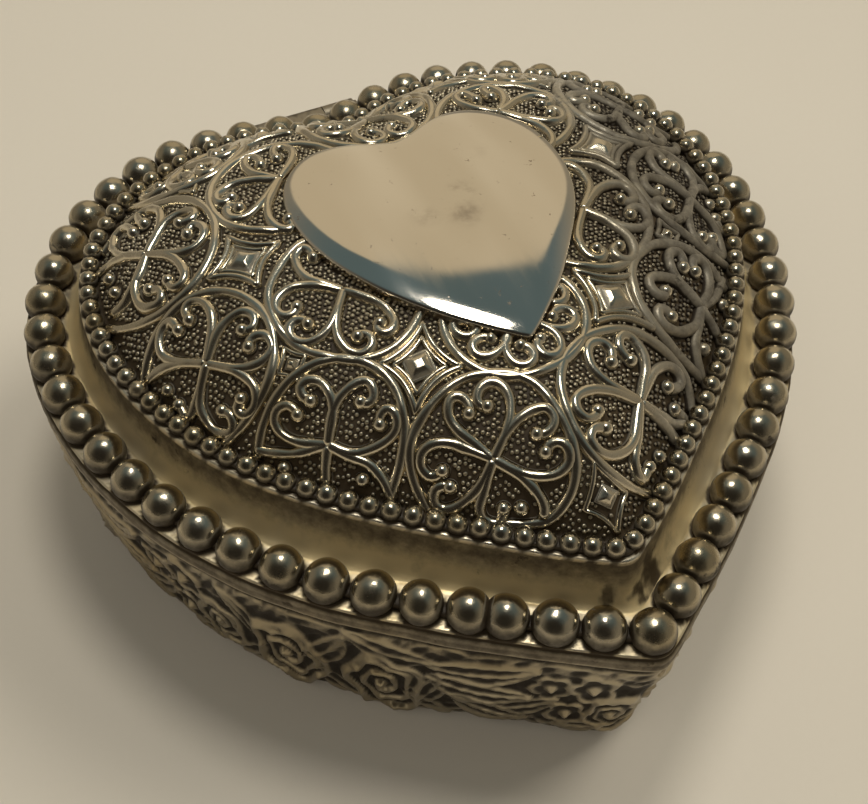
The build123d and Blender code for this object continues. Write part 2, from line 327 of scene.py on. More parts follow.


# ---------------------------------------------------------------------------
# Materials: everything driven by the two point values (tarnish, and dark grime that also carries painted shade) and
# noise in the object's space
# ---------------------------------------------------------------------------
def node(nt, kind, **inputs):
    n = nt.nodes.new(kind)
    for k, v in inputs.items():
        if k.startswith("_"):
            setattr(n, k[1:], v)
        else:
            n.inputs[k.replace("__", " ")].default_value = v
    return n


def ramp(nt, source, a, b, lo=0.0, hi=1.0):
    r = nt.nodes.new("ShaderNodeMapRange")
    r.interpolation_type = "SMOOTHSTEP"
    r.inputs["From Min"].default_value = a
    r.inputs["From Max"].default_value = b
    r.inputs["To Min"].default_value = lo
    r.inputs["To Max"].default_value = hi
    nt.links.new(source, r.inputs["Value"])
    return r.outputs["Result"]


def math_node(nt, op, a, b=None, clamp=False):
    m = nt.nodes.new("ShaderNodeMath")
    m.operation = op
    m.use_clamp = clamp
    for i, v in enumerate((a, b)):
        if v is None:
            continue
        if isinstance(v, (int, float)):
            m.inputs[i].default_value = v
        else:
            nt.links.new(v, m.inputs[i])
    return m.outputs[0]


def mix_color(nt, fac, a, b):
    m = nt.nodes.new("ShaderNodeMix")
    m.data_type = "RGBA"
    nt.links.new(fac, m.inputs["Factor"])
    for key, v in (("A", a), ("B", b)):
        s = [i for i in m.inputs if i.name == key and i.type == "RGBA"][0]
        if isinstance(v, tuple):
            s.default_value = (*v, 1.0)
        else:
            nt.links.new(v, s)
    return [o for o in m.outputs if o.type == "RGBA"][0]


def noise(nt, coords, scale, detail=3.0, rough=0.5, stretch=None):
    src = coords
    if stretch is not None:
        mp = nt.nodes.new("ShaderNodeMapping")
        mp.inputs["Scale"].default_value = stretch[0]
        mp.inputs["Rotation"].default_value = stretch[1]
        nt.links.new(coords, mp.inputs["Vector"])
        src = mp.outputs["Vector"]
    n = nt.nodes.new("ShaderNodeTexNoise")
    n.inputs["Scale"].default_value = scale
    n.inputs["Detail"].default_value = detail
    n.inputs["Roughness"].default_value = rough
    nt.links.new(src, n.inputs["Vector"])
    return n.outputs["Fac"]


def new_material(name):
    m = bpy.data.materials.new(name)
    m.use_nodes = True
    nt = m.node_tree
    bsdf = nt.nodes["Principled BSDF"]
    tc = nt.nodes.new("ShaderNodeTexCoord")
    return m, nt, bsdf, tc.outputs["Object"]


def attribute(nt, name):
    a = nt.nodes.new("ShaderNodeAttribute")
    a.attribute_name = name
    return a.outputs["Fac"]


def silver(name, clean, tarnish, dark, r_clean=0.24, r_dark=0.62, pits=0.35, wear=0.5, bump=0.00003, bump_scale=900.0, r_tarn=0.10, m_tarn=0.0):
    """Old silver plate: bright on the heights, brassy where 'tarn' is, brown-black where the dark value is high, which
    is tarnish in the hollows and, on the beads and the right of the dome, painted shade.
    """
    m, nt, bsdf, co = new_material(name)
    grime, tarn = attribute(nt, "grime"), attribute(nt, "tarn")
    broad = noise(nt, co, 55.0, 4.0, 0.6)
    fine = noise(nt, co, 620.0, 4.0, 0.65)
    spots = noise(nt, co, 260.0, 5.0, 0.7)
    t = math_node(nt, "ADD", tarn, math_node(nt, "MULTIPLY", math_node(nt, "SUBTRACT", broad, 0.5), 1.5), True)
    base = mix_color(nt, t, clean, tarnish)
    g = math_node(nt, "ADD", grime, math_node(nt, "MULTIPLY", math_node(nt, "SUBTRACT", fine, 0.5), wear))
    g = math_node(nt, "ADD", g, math_node(nt, "MULTIPLY", ramp(nt, spots, 0.60, 0.74), pits), True)
    g = ramp(nt, g, 0.12, 0.85)
    color = mix_color(nt, g, base, dark)
    nt.links.new(color, bsdf.inputs["Base Color"])
    rough = math_node(nt, "ADD", ramp(nt, g, 0.0, 1.0, r_clean, r_dark), math_node(nt, "MULTIPLY", math_node(nt, "SUBTRACT", spots, 0.5), 0.22), True)
    rough = math_node(nt, "ADD", rough, math_node(nt, "MULTIPLY", t, r_tarn), True)
    nt.links.new(rough, bsdf.inputs["Roughness"])
    metal = ramp(nt, g, 0.0, 1.0, 1.0, 0.35)
    if m_tarn:
        metal = math_node(nt, "SUBTRACT", metal, math_node(nt, "MULTIPLY", t, m_tarn), True)
    nt.links.new(metal, bsdf.inputs["Metallic"])
    b = nt.nodes.new("ShaderNodeBump")
    b.inputs["Strength"].default_value = 0.55
    b.inputs["Distance"].default_value = bump
    nt.links.new(math_node(nt, "ADD", noise(nt, co, bump_scale, 4.0, 0.6), math_node(nt, "MULTIPLY", spots, 1.5)), b.inputs["Height"])
    nt.links.new(b.outputs["Normal"], bsdf.inputs["Normal"])
    return m


mat_lid = silver("silver_lid", (0.60, 0.545, 0.44), (0.75, 0.58, 0.30), (0.046, 0.030, 0.013), 0.25, 0.6, 0.35, 0.45, 0.00005, 700.0, 0.16, 0.55)
mat_bead = silver("silver_beads", (0.56, 0.505, 0.395), (0.38, 0.305, 0.175), (0.040, 0.028, 0.015), 0.20, 0.50, 0.60, 0.60, 0.00006, 600.0)
mat_relief = silver("silver_relief", (0.70, 0.63, 0.495), (0.45, 0.36, 0.21), (0.026, 0.018, 0.010), 0.19, 0.6, 0.25, 0.45, 0.00003, 1100.0)
mat_stipple = silver("silver_stipple", (0.62, 0.545, 0.41), (0.46, 0.37, 0.22), (0.026, 0.018, 0.010), 0.26, 0.65, 0.25, 0.40, 0.00003, 1200.0)
mat_base = silver("silver_base", (0.44, 0.385, 0.285), (0.28, 0.22, 0.125), (0.024, 0.017, 0.010), 0.30, 0.65, 0.45, 0.55, 0.00005, 900.0)


def polished(name):
    m, nt, bsdf, co = new_material(name)
    streak = noise(nt, co, 240.0, 5.0, 0.6, ((1.0, 0.08, 1.0), (0.0, 0.0, 0.55)))
    streak2 = noise(nt, co, 420.0, 4.0, 0.6, ((1.0, 0.05, 1.0), (0.0, 0.0, -0.35)))
    broad = noise(nt, co, 45.0, 3.0, 0.5)
    pits = noise(nt, co, 900.0, 4.0, 0.7)
    patch = noise(nt, co, 110.0, 5.0, 0.7)
    # the dark value holds real smudges and the painted shade on the plaque's side wall
    smudge_and_edge_shade = attribute(nt, "grime")
    s = math_node(nt, "MULTIPLY", smudge_and_edge_shade, ramp(nt, patch, 0.38, 0.62), True)
    dots = math_node(nt, "MULTIPLY", ramp(nt, pits, 0.66, 0.72), 0.7)
    g = math_node(nt, "MAXIMUM", s, dots)
    color = mix_color(nt, ramp(nt, noise(nt, co, 70.0, 2.0, 0.5, ((1.0, 0.28, 1.0), (0.0, 0.0, 0.6))), 0.40, 0.62), (0.86, 0.80, 0.70), (0.72, 0.655, 0.545))
    nt.links.new(mix_color(nt, g, color, (0.16, 0.11, 0.07)), bsdf.inputs["Base Color"])
    rough = math_node(nt, "ADD", ramp(nt, streak, 0.4, 0.7, 0.06, 0.13), math_node(nt, "MULTIPLY", g, 0.3), True)
    nt.links.new(rough, bsdf.inputs["Roughness"])
    bsdf.inputs["Metallic"].default_value = 1.0
    b = nt.nodes.new("ShaderNodeBump")
    b.inputs["Strength"].default_value = 0.35
    b.inputs["Distance"].default_value = 0.000012
    nt.links.new(math_node(nt, "ADD", streak, streak2), b.inputs["Height"])
    nt.links.new(b.outputs["Normal"], bsdf.inputs["Normal"])
    return m


mat_plaque = polished("silver_polished")


def velvet(name, a, b_, sheen):
    m, nt, bsdf, co = new_material(name)
    pile = noise(nt, co, 1500.0, 3.0, 0.6)
    nap = noise(nt, co, 90.0, 3.0, 0.5)
    nt.links.new(mix_color(nt, math_node(nt, "ADD", math_node(nt, "MULTIPLY", pile, 0.5), math_node(nt, "MULTIPLY", nap, 0.5)), a, b_), bsdf.inputs["Base Color"])
    bsdf.inputs["Roughness"].default_value = 0.95
    bsdf.inputs["Sheen Weight"].default_value = 0.8
    bsdf.inputs["Sheen Roughness"].default_value = 0.35
    bsdf.inputs["Sheen Tint"].default_value = (*sheen, 1.0)
    bp = nt.nodes.new("ShaderNodeBump")
    bp.inputs["Strength"].default_value = 0.7
    bp.inputs["Distance"].default_value = 0.00015
    nt.links.new(math_node(nt, "ADD", pile, nap), bp.inputs["Height"])
    nt.links.new(bp.outputs["Normal"], bsdf.inputs["Normal"])
    return m


mat_velvet = velvet("velvet_burgundy", (0.055, 0.004, 0.008), (0.13, 0.012, 0.020), (0.85, 0.42, 0.45))
mat_felt = velvet("felt_black", (0.010, 0.010, 0.011), (0.035, 0.034, 0.033), (0.5, 0.5, 0.5))


def card_material():
    m, nt, bsdf, co = new_material("grey_card")
    f = noise(nt, co, 700.0, 4.0, 0.65)
    nt.links.new(mix_color(nt, f, (0.30, 0.25, 0.19), (0.44, 0.38, 0.30)), bsdf.inputs["Base Color"])
    bsdf.inputs["Roughness"].default_value = 0.9
    return m


mat_card = card_material()


def hinge_material():
    m, nt, bsdf, co = new_material("hinge_metal")
    f = noise(nt, co, 500.0, 4.0, 0.6)
    brush = noise(nt, co, 700.0, 3.0, 0.6, ((0.1, 1.0, 1.0), (0.0, 0.0, 0.0)))
    nt.links.new(mix_color(nt, ramp(nt, f, 0.42, 0.72), (0.34, 0.29, 0.21), (0.08, 0.06, 0.04)), bsdf.inputs["Base Color"])
    nt.links.new(ramp(nt, brush, 0.3, 0.7, 0.42, 0.62), bsdf.inputs["Roughness"])
    bsdf.inputs["Metallic"].default_value = 1.0
    b = nt.nodes.new("ShaderNodeBump")
    b.inputs["Strength"].default_value = 0.5
    b.inputs["Distance"].default_value = 0.00003
    nt.links.new(brush, b.inputs["Height"])
    nt.links.new(b.outputs["Normal"], bsdf.inputs["Normal"])
    return m


mat_hinge = hinge_material()

# ---------------------------------------------------------------------------
# Bearings used by every ring: even steps along the bead line
# ---------------------------------------------------------------------------
NB = 600
steps = stations(bead_loop, np.arange(NB) / NB * length(bead_loop))
BEAR = np.arctan2(steps[:, 1] - CY, steps[:, 0])

# bead and pearl centres
rim_len = length(bead_loop)
pitch = (rim_len - CROWDED) / (BEAD_COUNT - 1)
run, at = 0.0, []
for i in range(BEAD_COUNT):
    at.append(run)
    run += CROWDED if i == BEAD_COUNT - 4 else pitch
bead_xy = stations(bead_loop, at)
pearl_xy = stations(pearl_loop, (np.arange(PEARL_COUNT) + 0.5) / PEARL_COUNT * length(pearl_loop))


def nearest(points_xy, centres):
    best = np.full(len(points_xy), 1e9)
    for c in centres:
        best = np.minimum(best, np.hypot(points_xy[:, 0] - c[0], points_xy[:, 1] - c[1]))
    return best


# ---------------------------------------------------------------------------
# Lid casting
# ---------------------------------------------------------------------------
def offset_r(out):
    return radial(shifted(BEAD_LINE, out))(BEAR)


ledge_in = shifted(BEAD_LINE, -2.6)
shelf_out = shifted(PEARL_LINE, 1.3)


def cove_r(w):
    return radial(blended(ledge_in, shelf_out, w))(BEAR)


foot_b = foot_r(BEAR)
shelf_b = shelf_r(BEAR)
rings = []   # (radius at each bearing, z, grime, tarn)
# under side, from the middle out
for s in (0.12, 0.3, 0.5, 0.7, 0.85, 0.96):
    rings.append((s * radial(shifted(PEARL_LINE, -2.6))(BEAR), 33.9 + 9.8 * (1 - s ** DOME_POWER), 0.5, 0.5))
rings.append((radial(shifted(PEARL_LINE, -0.6))(BEAR), 33.0, 0.5, 0.5))
rings.append((offset_r(-4.6), 29.2, 0.5, 0.5))
rings.append((offset_r(-3.6), 29.2, 0.4, 0.5))
rings.append((offset_r(-3.6), 27.6, 0.3, 0.5))
rings.append((offset_r(0.25), 27.6, 0.3, 0.4))
rings.append((offset_r(0.25), 26.1, 0.3, 0.4))
rings.append((offset_r(0.40), 25.8, 0.3, 0.3))
rings.append((offset_r(2.30), 25.8, 0.5, 0.3))
# flange, with the groove under its top edge
for out, z, g, t in ((2.50, 25.85, 0.52, 0.4), (2.60, 26.05, 0.34, 0.4), (2.62, 26.5, 0.52, 0.4), (2.60, 27.0, 0.58, 0.4),
                     (2.60, 27.45, 0.50, 0.4), (2.57, 27.75, 0.52, 0.4), (2.46, 27.92, 0.60, 0.4), (2.33, 28.0, 0.8, 0.3),
                     (2.25, 28.08, 1.0, 0.3), (2.22, 28.2, 0.9, 0.3), (2.30, 28.34, 0.45, 0.3), (2.30, 28.48, 0.22, 0.3),
                     (2.20, 28.58, 0.22, 0.5), (2.05, 28.6, 0.26, 0.6), (1.5, 28.6, 0.2, 0.4), (0.8, 28.6, 0.3, 0.4), (0.0, 28.6, 0.3, 0.4),
                     (-0.8, 28.6, 0.3, 0.4), (-1.5, 28.6, 0.22, 0.4), (-2.1, 28.6, 0.12, 0.4)):
    rings.append((offset_r(out), z, g, t))
# cove
cw = np.array([0.0, 0.34, 0.62, 0.86, 1.0])
cz = np.array([LEDGE_Z, LEDGE_Z + 0.55, LEDGE_Z + 1.9, LEDGE_Z + 4.2, SHELF_Z])


def cove_z(w):
    """Cubic through the cove's stations."""
    n = len(cw)
    h = np.diff(cw)
    m = np.zeros((n, n)); r = np.zeros(n)
    m[0, 0] = m[-1, -1] = 1
    for i in range(1, n - 1):
        m[i, i - 1], m[i, i], m[i, i + 1] = h[i - 1], 2 * (h[i - 1] + h[i]), h[i]
        r[i] = 6 * ((cz[i + 1] - cz[i]) / h[i] - (cz[i] - cz[i - 1]) / h[i - 1])
    k = np.linalg.solve(m, r)
    i = int(np.clip(np.searchsorted(cw, w) - 1, 0, n - 2))
    a, b = cw[i + 1] - w, w - cw[i]
    return (k[i] * a ** 3 + k[i + 1] * b ** 3) / (6 * h[i]) + (cz[i] / h[i] - k[i] * h[i] / 6) * a + (cz[i + 1] / h[i] - k[i + 1] * h[i] / 6) * b


for w in np.r_[np.linspace(0.0, 0.965, 24)]:
    rings.append((cove_r(w), cove_z(w), 0.0 + 0.72 * smoothstep(0.46, 0.96, w), 0.95))
rings.append((cove_r(0.985), SHELF_Z - 0.32, 0.02, 0.5))
rings.append((cove_r(0.992), SHELF_Z - 0.12, 0.0, 0.3))
rings.append((cove_r(1.0) - 0.10, SHELF_Z + 0.0, 0.05, 0.3))
rings.append((shelf_b - 0.35, SHELF_Z, 0.5, 0.4))
rings.append((shelf_b - 0.8, SHELF_Z, 0.8, 0.4))
rings.append(((shelf_b + foot_b) / 2, SHELF_Z, 0.9, 0.4))
rings.append((foot_b + 0.25, SHELF_Z, 0.95, 0.4))
rings.append((foot_b + 0.02, SHELF_Z + 0.05, 0.95, 0.4))
s_steps = 1 - (np.linspace(0, 1, 46)[1:-1]) ** 1.25
for s in s_steps:
    rings.append((foot_b * s, SHELF_Z + CROWN_H * (1 - s ** DOME_POWER), 1.0, 0.5))

co = np.vstack([ring_points(r, z, BEAR) for r, z, g, t in rings])
grime = np.concatenate([np.full(NB, g) for r, z, g, t in rings])
tarn = np.concatenate([np.full(NB, t) for r, z, g, t in rings])
nr = len(rings)
zz = co[:, 2]
row = np.repeat(np.arange(nr), NB)
# casting waviness on the outer faces only
outer = row >= 14
bearing_dir = np.stack([np.cos(np.tile(BEAR, nr)), np.sin(np.tile(BEAR, nr)), np.zeros(len(co))], -1)
flange = outer & (zz < 28.59) & (zz > 25.82)
co[flange] += bearing_dir[flange] * (waves(co[flange], 7.0, 3) * 0.05 + waves(co[flange], 1.7, 4) * 0.025)[:, None]
grime[flange] = np.clip(grime[flange] + 0.12, 0, 1)
cove = outer & (zz > 28.6) & (zz < 35.2) & (row < 14 + 20 + 26)
co[cove, 2] += waves(co[cove], 11.0, 5) * 0.06 + waves(co[cove], 3.2, 6) * 0.018
ledge = outer & (np.abs(zz - 28.6) < 0.001)
co[ledge, 2] += waves(co[ledge], 4.0, 8) * 0.03
# dark rings where the beads and pearls meet the casting: tarnish in the joints and painted shade
d = nearest(co[:, :2], bead_xy)
bead_foot_grime_and_shade = smoothstep(2.95, 2.45, d) * (zz > 28.3) * (zz < 30.2)
near_bead2 = smoothstep(3.3, 2.7, d) * (zz > 28.3) * (zz < 30.2)
grime = np.maximum(grime, bead_foot_grime_and_shade * 0.95)
tarn = np.maximum(tarn, near_bead2 * 0.7)
d = nearest(co[:, :2], pearl_xy)
grime = np.maximum(grime, smoothstep(1.6, 1.2, d) * 0.9 * (zz > 34.6) * (zz < 35.8))
# brown stains in the cove beside the point
for (sx, sy), size, amount in (((3.4, -38.6 - YC), 2.3, 0.80), ((1.2, -40.0 - YC), 1.1, 0.75), ((7.6, -36.4 - YC), 1.5, 0.45), ((-2.4, -39.3 - YC), 1.0, 0.7),
                               ((-18.5, -29.2), 1.6, 0.35), ((-27.0, -20.5), 2.2, 0.30), ((-38.6, -3.0), 2.4, 0.30)):
    dd = np.hypot(co[:, 0] - sx, co[:, 1] - sy)
    blot = smoothstep(size * 1.5, size * 0.3, dd + waves(co, 1.6, 21) * 0.55) * amount * (zz > 28.6) * (zz < 35.3)
    grime = np.maximum(grime, blot)
lid = Soup()
centre_low = ring_points(np.zeros(1), np.array([43.7]), np.zeros(1))
centre_top = ring_points(np.zeros(1), np.array([SHELF_Z + CROWN_H]), np.zeros(1))
quads = grid_faces(nr, NB)
pts = np.vstack([co, centre_low, centre_top])
tris = np.vstack([fan(0, NB, nr * NB, True), fan((nr - 1) * NB, NB, nr * NB + 1)])
lid.add(pts, quads, tris, np.r_[grime, 0.5, 1.0], np.r_[tarn, 0.5, 0.5])
lid.build("lid_casting", "lid", mat_lid, ("lid_shell",))

# ---------------------------------------------------------------------------
# Large beads and pearls
# ---------------------------------------------------------------------------
ball, ball_q, ball_t = uv_ball(40, 20)


def beads(name, centres, r, plane, foot_z, template, ball_parts, seed, strip_half, strip_top, node_name, loop_half, point_r):
    soup = Soup()
    g = np.random.default_rng(seed)
    b, q, t = ball_parts
    for c in centres:
        k = r * g.uniform(0.97, 1.025)
        sq = np.array([g.uniform(0.98, 1.03), g.uniform(0.98, 1.03), g.uniform(0.97, 1.02)])
        turn = g.uniform(0, 2 * math.pi)
        rot = np.array([[math.cos(turn), -math.sin(turn), 0], [math.sin(turn), math.cos(turn), 0], [0, 0, 1]])
        p = (b * sq) @ rot.T * k
        p = p * (1 + 0.010 * waves(b * 2.0 + c[0] * 0.37 + c[1] * 0.61, 1.9, 11)[:, None] + 0.003 * waves(b * 2.0 + c[1], 0.5, 12)[:, None])
        p += np.array([c[0] + g.normal(0, 0.03), c[1] + g.normal(0, 0.03), plane + g.normal(0, 0.02)])
        p[:, 2] = np.maximum(p[:, 2], foot_z - 0.1)
        up = (p[:, 2] - foot_z) / (plane + r - foot_z)
        # painted shade: the lower part of each bead is darkened, hiding its reflection of the floor
        low = 0.80 * smoothstep(0.93, 0.30, up)
        # neighbours leave a dark line down each side: tarnish in the joint and painted shade
        tang = np.zeros(len(p))
        dn = np.full(len(p), 1e9)
        for o in centres:
            if 0.1 < math.hypot(o[0] - c[0], o[1] - c[1]) < 3.2 * r:
                dn = np.minimum(dn, np.sqrt((p[:, 0] - o[0]) ** 2 + (p[:, 1] - o[1]) ** 2 + (p[:, 2] - plane) ** 2))
        side = smoothstep(r * 1.36, r * 1.04, dn)
        grime_ = np.clip(low * 0.95 + side * 0.95, 0, 1)
        soup.add(p, q, t, grime_, 0.25 + 0.35 * g.random())
    n = 300
    out_r = radial(shifted(loop_half, strip_half), point_r)
    in_r = radial(shifted(loop_half, -strip_half), point_r)
    bear = BEAR[::2]
    rows = [ring_points(in_r(bear), foot_z - 0.05, bear), ring_points(out_r(bear), foot_z - 0.05, bear),
            ring_points(out_r(bear), strip_top - 0.15, bear), ring_points(out_r(bear) - 0.15, strip_top, bear),
            ring_points(in_r(bear) + 0.15, strip_top, bear), ring_points(in_r(bear), strip_top - 0.15, bear)]
    soup.add(np.vstack(rows), grid_faces(6, len(bear), wrap_rows=True), None, 0.9, 0.4)
    return soup.build(name, "lid", mat_bead, (node_name,))


beads("rim_beads", bead_xy, BEAD_R, BEAD_PLANE, LEDGE_Z, None, uv_ball(40, 20), 21, 0.8, 29.55, "rim_beading", BEAD_LINE, 2.5)
beads("pearl_row", pearl_xy, PEARL_R, SHELF_Z + 0.7, SHELF_Z, None, uv_ball(22, 11), 22, 0.7, 35.95, "pearl_beading", PEARL_LINE, 1.5)

# ---------------------------------------------------------------------------
# Plaque
# ---------------------------------------------------------------------------
plaque_loop = smooth_loop(closed(PLAQUE, 0.5, 1.0), 30)
plaque_r = Radial(plaque_loop)
NP = 420
p_bear = np.arctan2(*(stations(plaque_loop, np.arange(NP) / NP * length(plaque_loop)) - [0, CY]).T[::-1])
edge = plaque_r(p_bear) + 0.95 * smoothstep(-0.25, 0.65, np.cos(p_bear - math.radians(58)))
plaque_loop = ring_points(edge, 0.0, p_bear)[:, :2]


def crown_z(xy):
    return PLAQUE_TOP - PLAQUE_R + np.sqrt(PLAQUE_R ** 2 - xy[:, 0] ** 2 - (xy[:, 1] - CY) ** 2)


def edge_distance(xy):
    best = np.full(len(xy), 1e9)
    for c in plaque_loop:
        best = np.minimum(best, np.hypot(xy[:, 0] - c[0], xy[:, 1] - c[1]))
    return best


ks = np.r_[1 - 0.0, 0.9975, 0.994, 0.988, 0.98, 0.97, 0.955, 0.94, 0.92, 0.90, 0.875, 0.85, np.linspace(0.82, 0.04, 26)]
rows, gr = [], []
for k in ks:
    xy = ring_points(edge * k, 0.0, p_bear)[:, :2]
    dist = edge_distance(xy) if k < 1 else np.zeros(NP)
    z = crown_z(xy) - 0.30 * (np.clip(2.6 - dist, 0, None) / 2.6) ** 2
    z -= 0.16 * np.clip(1 - dist / 0.22, 0, 1) ** 2
    z += waves(np.column_stack([xy, np.zeros(NP)]), 14.0, 31) * 0.012 + waves(np.column_stack([xy, np.zeros(NP)]), 4.5, 32) * 0.0025
    rows.append(np.column_stack([xy, z]))
top_edge = rows[0].copy()
below = [top_edge + [0, 0, -0.12], top_edge + [0, 0, -0.6]]
bottom = ring_points(edge, PLAQUE_SEAT, p_bear)
rows = [bottom] + below[::-1] + rows
nrow = len(rows)
pts = np.vstack(rows + [ring_points(np.zeros(1), np.array([PLAQUE_SEAT]), np.zeros(1)), np.array([[0, CY, PLAQUE_TOP]])])
plaque_smudge_and_edge_shade = np.zeros(len(pts))
for (sx, sy), size, amount in (((2.6, 6.9 - YC), 2.4, 1.0), ((1.4, 3.6 - YC), 3.4, 0.6), ((-3.0, 5.0 - YC), 2.6, 0.35), ((8.0, 13.0 - YC), 2.0, 0.12)):
    plaque_smudge_and_edge_shade = np.maximum(plaque_smudge_and_edge_shade, amount * smoothstep(size, 0.0, np.hypot(pts[:, 0] - sx, pts[:, 1] - sy)))
# painted shade: the plaque's side wall is darkened all round as a shadow line, broken up by the material's tarnish
# patches; the spots above are real smudges
plaque_smudge_and_edge_shade[: NP * 3] = 1.0
plaque = Soup()
plaque.add(pts, grid_faces(nrow, NP), np.vstack([fan(0, NP, nrow * NP, True), fan((nrow - 1) * NP, NP, nrow * NP + 1)]), plaque_smudge_and_edge_shade, 0.0)
plaque.build("heart_plate", "lid", mat_plaque, ("heart_plaque",))

# ---------------------------------------------------------------------------
# Scrollwork on the dome
# ---------------------------------------------------------------------------
WIRE = np.array([(-1.05, -0.35), (-1.0, 0.12), (-0.86, 0.55), (-0.55, 0.90), (0.0, 1.0), (0.55, 0.90), (0.86, 0.55), (1.0, 0.12), (1.05, -0.35)])
BAND = np.array([(-1.05, -0.45), (-1.0, 0.12), (-0.90, 0.58), (-0.66, 0.92), (-0.32, 0.97), (0.0, 0.92), (0.32, 0.97), (0.66, 0.92), (0.90, 0.58), (1.0, 0.12), (1.05, -0.45)])
strap = Soup()
stroke_points, stroke_half = [], []
plaque_in = Radial(smooth_loop(closed(PLAQUE, 0.5, 1.0)))


def under_plaque(xy, margin=0.7):
    r = np.hypot(xy[:, 0], xy[:, 1] - CY)
    return r < plaque_in(np.arctan2(xy[:, 1] - CY, xy[:, 0])) - margin


def open_runs(keep, closed_path):
    n = len(keep)
    if keep.all():
        return [(np.arange(n), closed_path)]
    if not keep.any():
        return []
    if closed_path:
        first = int(np.argmin(keep))
        idx = (np.arange(n) + first) % n
    else:
        idx = np.arange(n)
    runs, cur = [], []
    for i in idx:
        if keep[i]:
            cur.append(i)
        elif cur:
            runs.append((np.array(cur), False))
            cur = []
    if cur:
        runs.append((np.array(cur), False))
    return [r for r in runs if len(r[0]) > 3]


def resample(path, step, closed_path):
    q = np.vstack([path, path[:1]]) if closed_path else path
    s = np.r_[0, np.cumsum(np.linalg.norm(np.diff(q, axis=0), axis=1))]
    n = max(4, int(round(s[-1] / step)))
    t = np.linspace(0, s[-1], n, endpoint=not closed_path)
    return np.stack([np.interp(t, s, q[:, k]) for k in (0, 1)], -1)


def catmull(points, per=10):
    p = np.asarray(points, float)
    p = np.vstack([2 * p[0] - p[1], p, 2 * p[-1] - p[-2]])
    out = []
    for i in range(1, len(p) - 2):
        for j in range(per):
            u = j / per
            out.append(0.5 * (2 * p[i] + (p[i + 1] - p[i - 1]) * u + (2 * p[i - 1] - 5 * p[i] + 4 * p[i + 1] - p[i + 2]) * u * u
                              + (3 * p[i] - 3 * p[i + 1] + p[i + 2] - p[i - 1]) * u ** 3))
    out.append(p[-2])
    return np.array(out)


def stroke(path, half, height, prof, closed_path=False, step=0.38, taper=(0.0, 0.0), lift=0.0, s_limit=1.0):
    path = resample(np.asarray(path, float), step, closed_path)
    keep = (dome_s(path) < s_limit) & ~under_plaque(path)
    for idx, wrap in open_runs(keep, closed_path):
        xy = path[idx]
        n = len(xy)
        p, nn = on_dome(xy)
        if wrap:
            t = np.roll(p, -1, 0) - np.roll(p, 1, 0)
        else:
            t = np.gradient(p, axis=0)
        t /= np.linalg.norm(t, axis=1)[:, None]
        b = np.cross(nn, t)
        run_ = np.arange(n) * step
        wob = 1.06 + 0.10 * waves(p, 2.6, 41)
        hw = half * wob
        hh = height * (1 + 0.08 * waves(p, 3.4, 42)) + lift
        if not wrap:
            if taper[0] > 0:
                hw = hw * (0.45 + 0.55 * smoothstep(0, taper[0], run_))
            if taper[1] > 0:
                hw = hw * (0.45 + 0.55 * smoothstep(0, taper[1], run_[::-1]))
        m = len(prof)
        grid = p[:, None, :] + b[:, None, :] * (prof[None, :, 0] * hw[:, None])[..., None] + nn[:, None, :] * (prof[None, :, 1] * hh[:, None])[..., None]
        q = grid_faces(n, m, wrap_cols=False, wrap_rows=wrap)
        # painted shade: the strokes get darker towards the right of the dome, dimming their sheen there
        g = np.tile(smoothstep(0.50, -0.25, prof[:, 1]), n) + np.repeat(0.60 * smoothstep(8.0, 25.0, xy[:, 0] - 0.3 * (xy[:, 1] + YC)), m)
        g = np.clip(g, 0, 1)
        tr = None
        if not wrap:
            e0, e1 = [], []
            for j in range(1, m - 1):
                e0.append((0, j + 1, j))
                e1.append(((n - 1) * m, (n - 1) * m + j, (n - 1) * m + j + 1))
            tr = np.array(e0 + e1)
        strap.add(grid.reshape(-1, 3), q[:, ::-1], tr[:, ::-1] if tr is not None else None, g, 0.3)
        stroke_points.append(xy)
        stroke_half.append(np.full(n, half))


cap_b, cap_q, cap_t = uv_ball(14, 8)


def knob(xy, r, h):
    xy = np.asarray(xy, float)[None]
    if dome_s(xy)[0] > 0.99 or under_plaque(xy, 0.2)[0]:
        return
    p, nn = on_dome(xy)
    n = nn[0]
    a = np.cross(n, [0, 1, 0]); a /= np.linalg.norm(a)
    b = np.cross(n, a)
    co_ = p[0] + cap_b[:, :1] * a * r + cap_b[:, 1:2] * b * r + (cap_b[:, 2:3] * h) * n + n * 0.12
    # painted shade: the balls get darker towards the right of the dome
    painted_right_shade = 0.30 * smoothstep(8.0, 25.0, xy[0, 0] - 0.3 * (xy[0, 1] + YC))
    strap.add(co_, cap_q[:, ::-1], cap_t[:, ::-1], np.clip(smoothstep(0.50, -0.15, cap_b[:, 2]) + painted_right_shade, 0, 1), 0.25)
    stroke_points.append(xy)
    stroke_half.append(np.array([r]))


HEART = [(0.0, 0.05), (1.15, 1.45), (2.95, 2.72), (4.4, 3.25), (5.8, 2.95), (6.55, 1.95), (6.3, 0.85), (5.45, 0.38), (4.55, 0.62), (4.05, 1.25)]


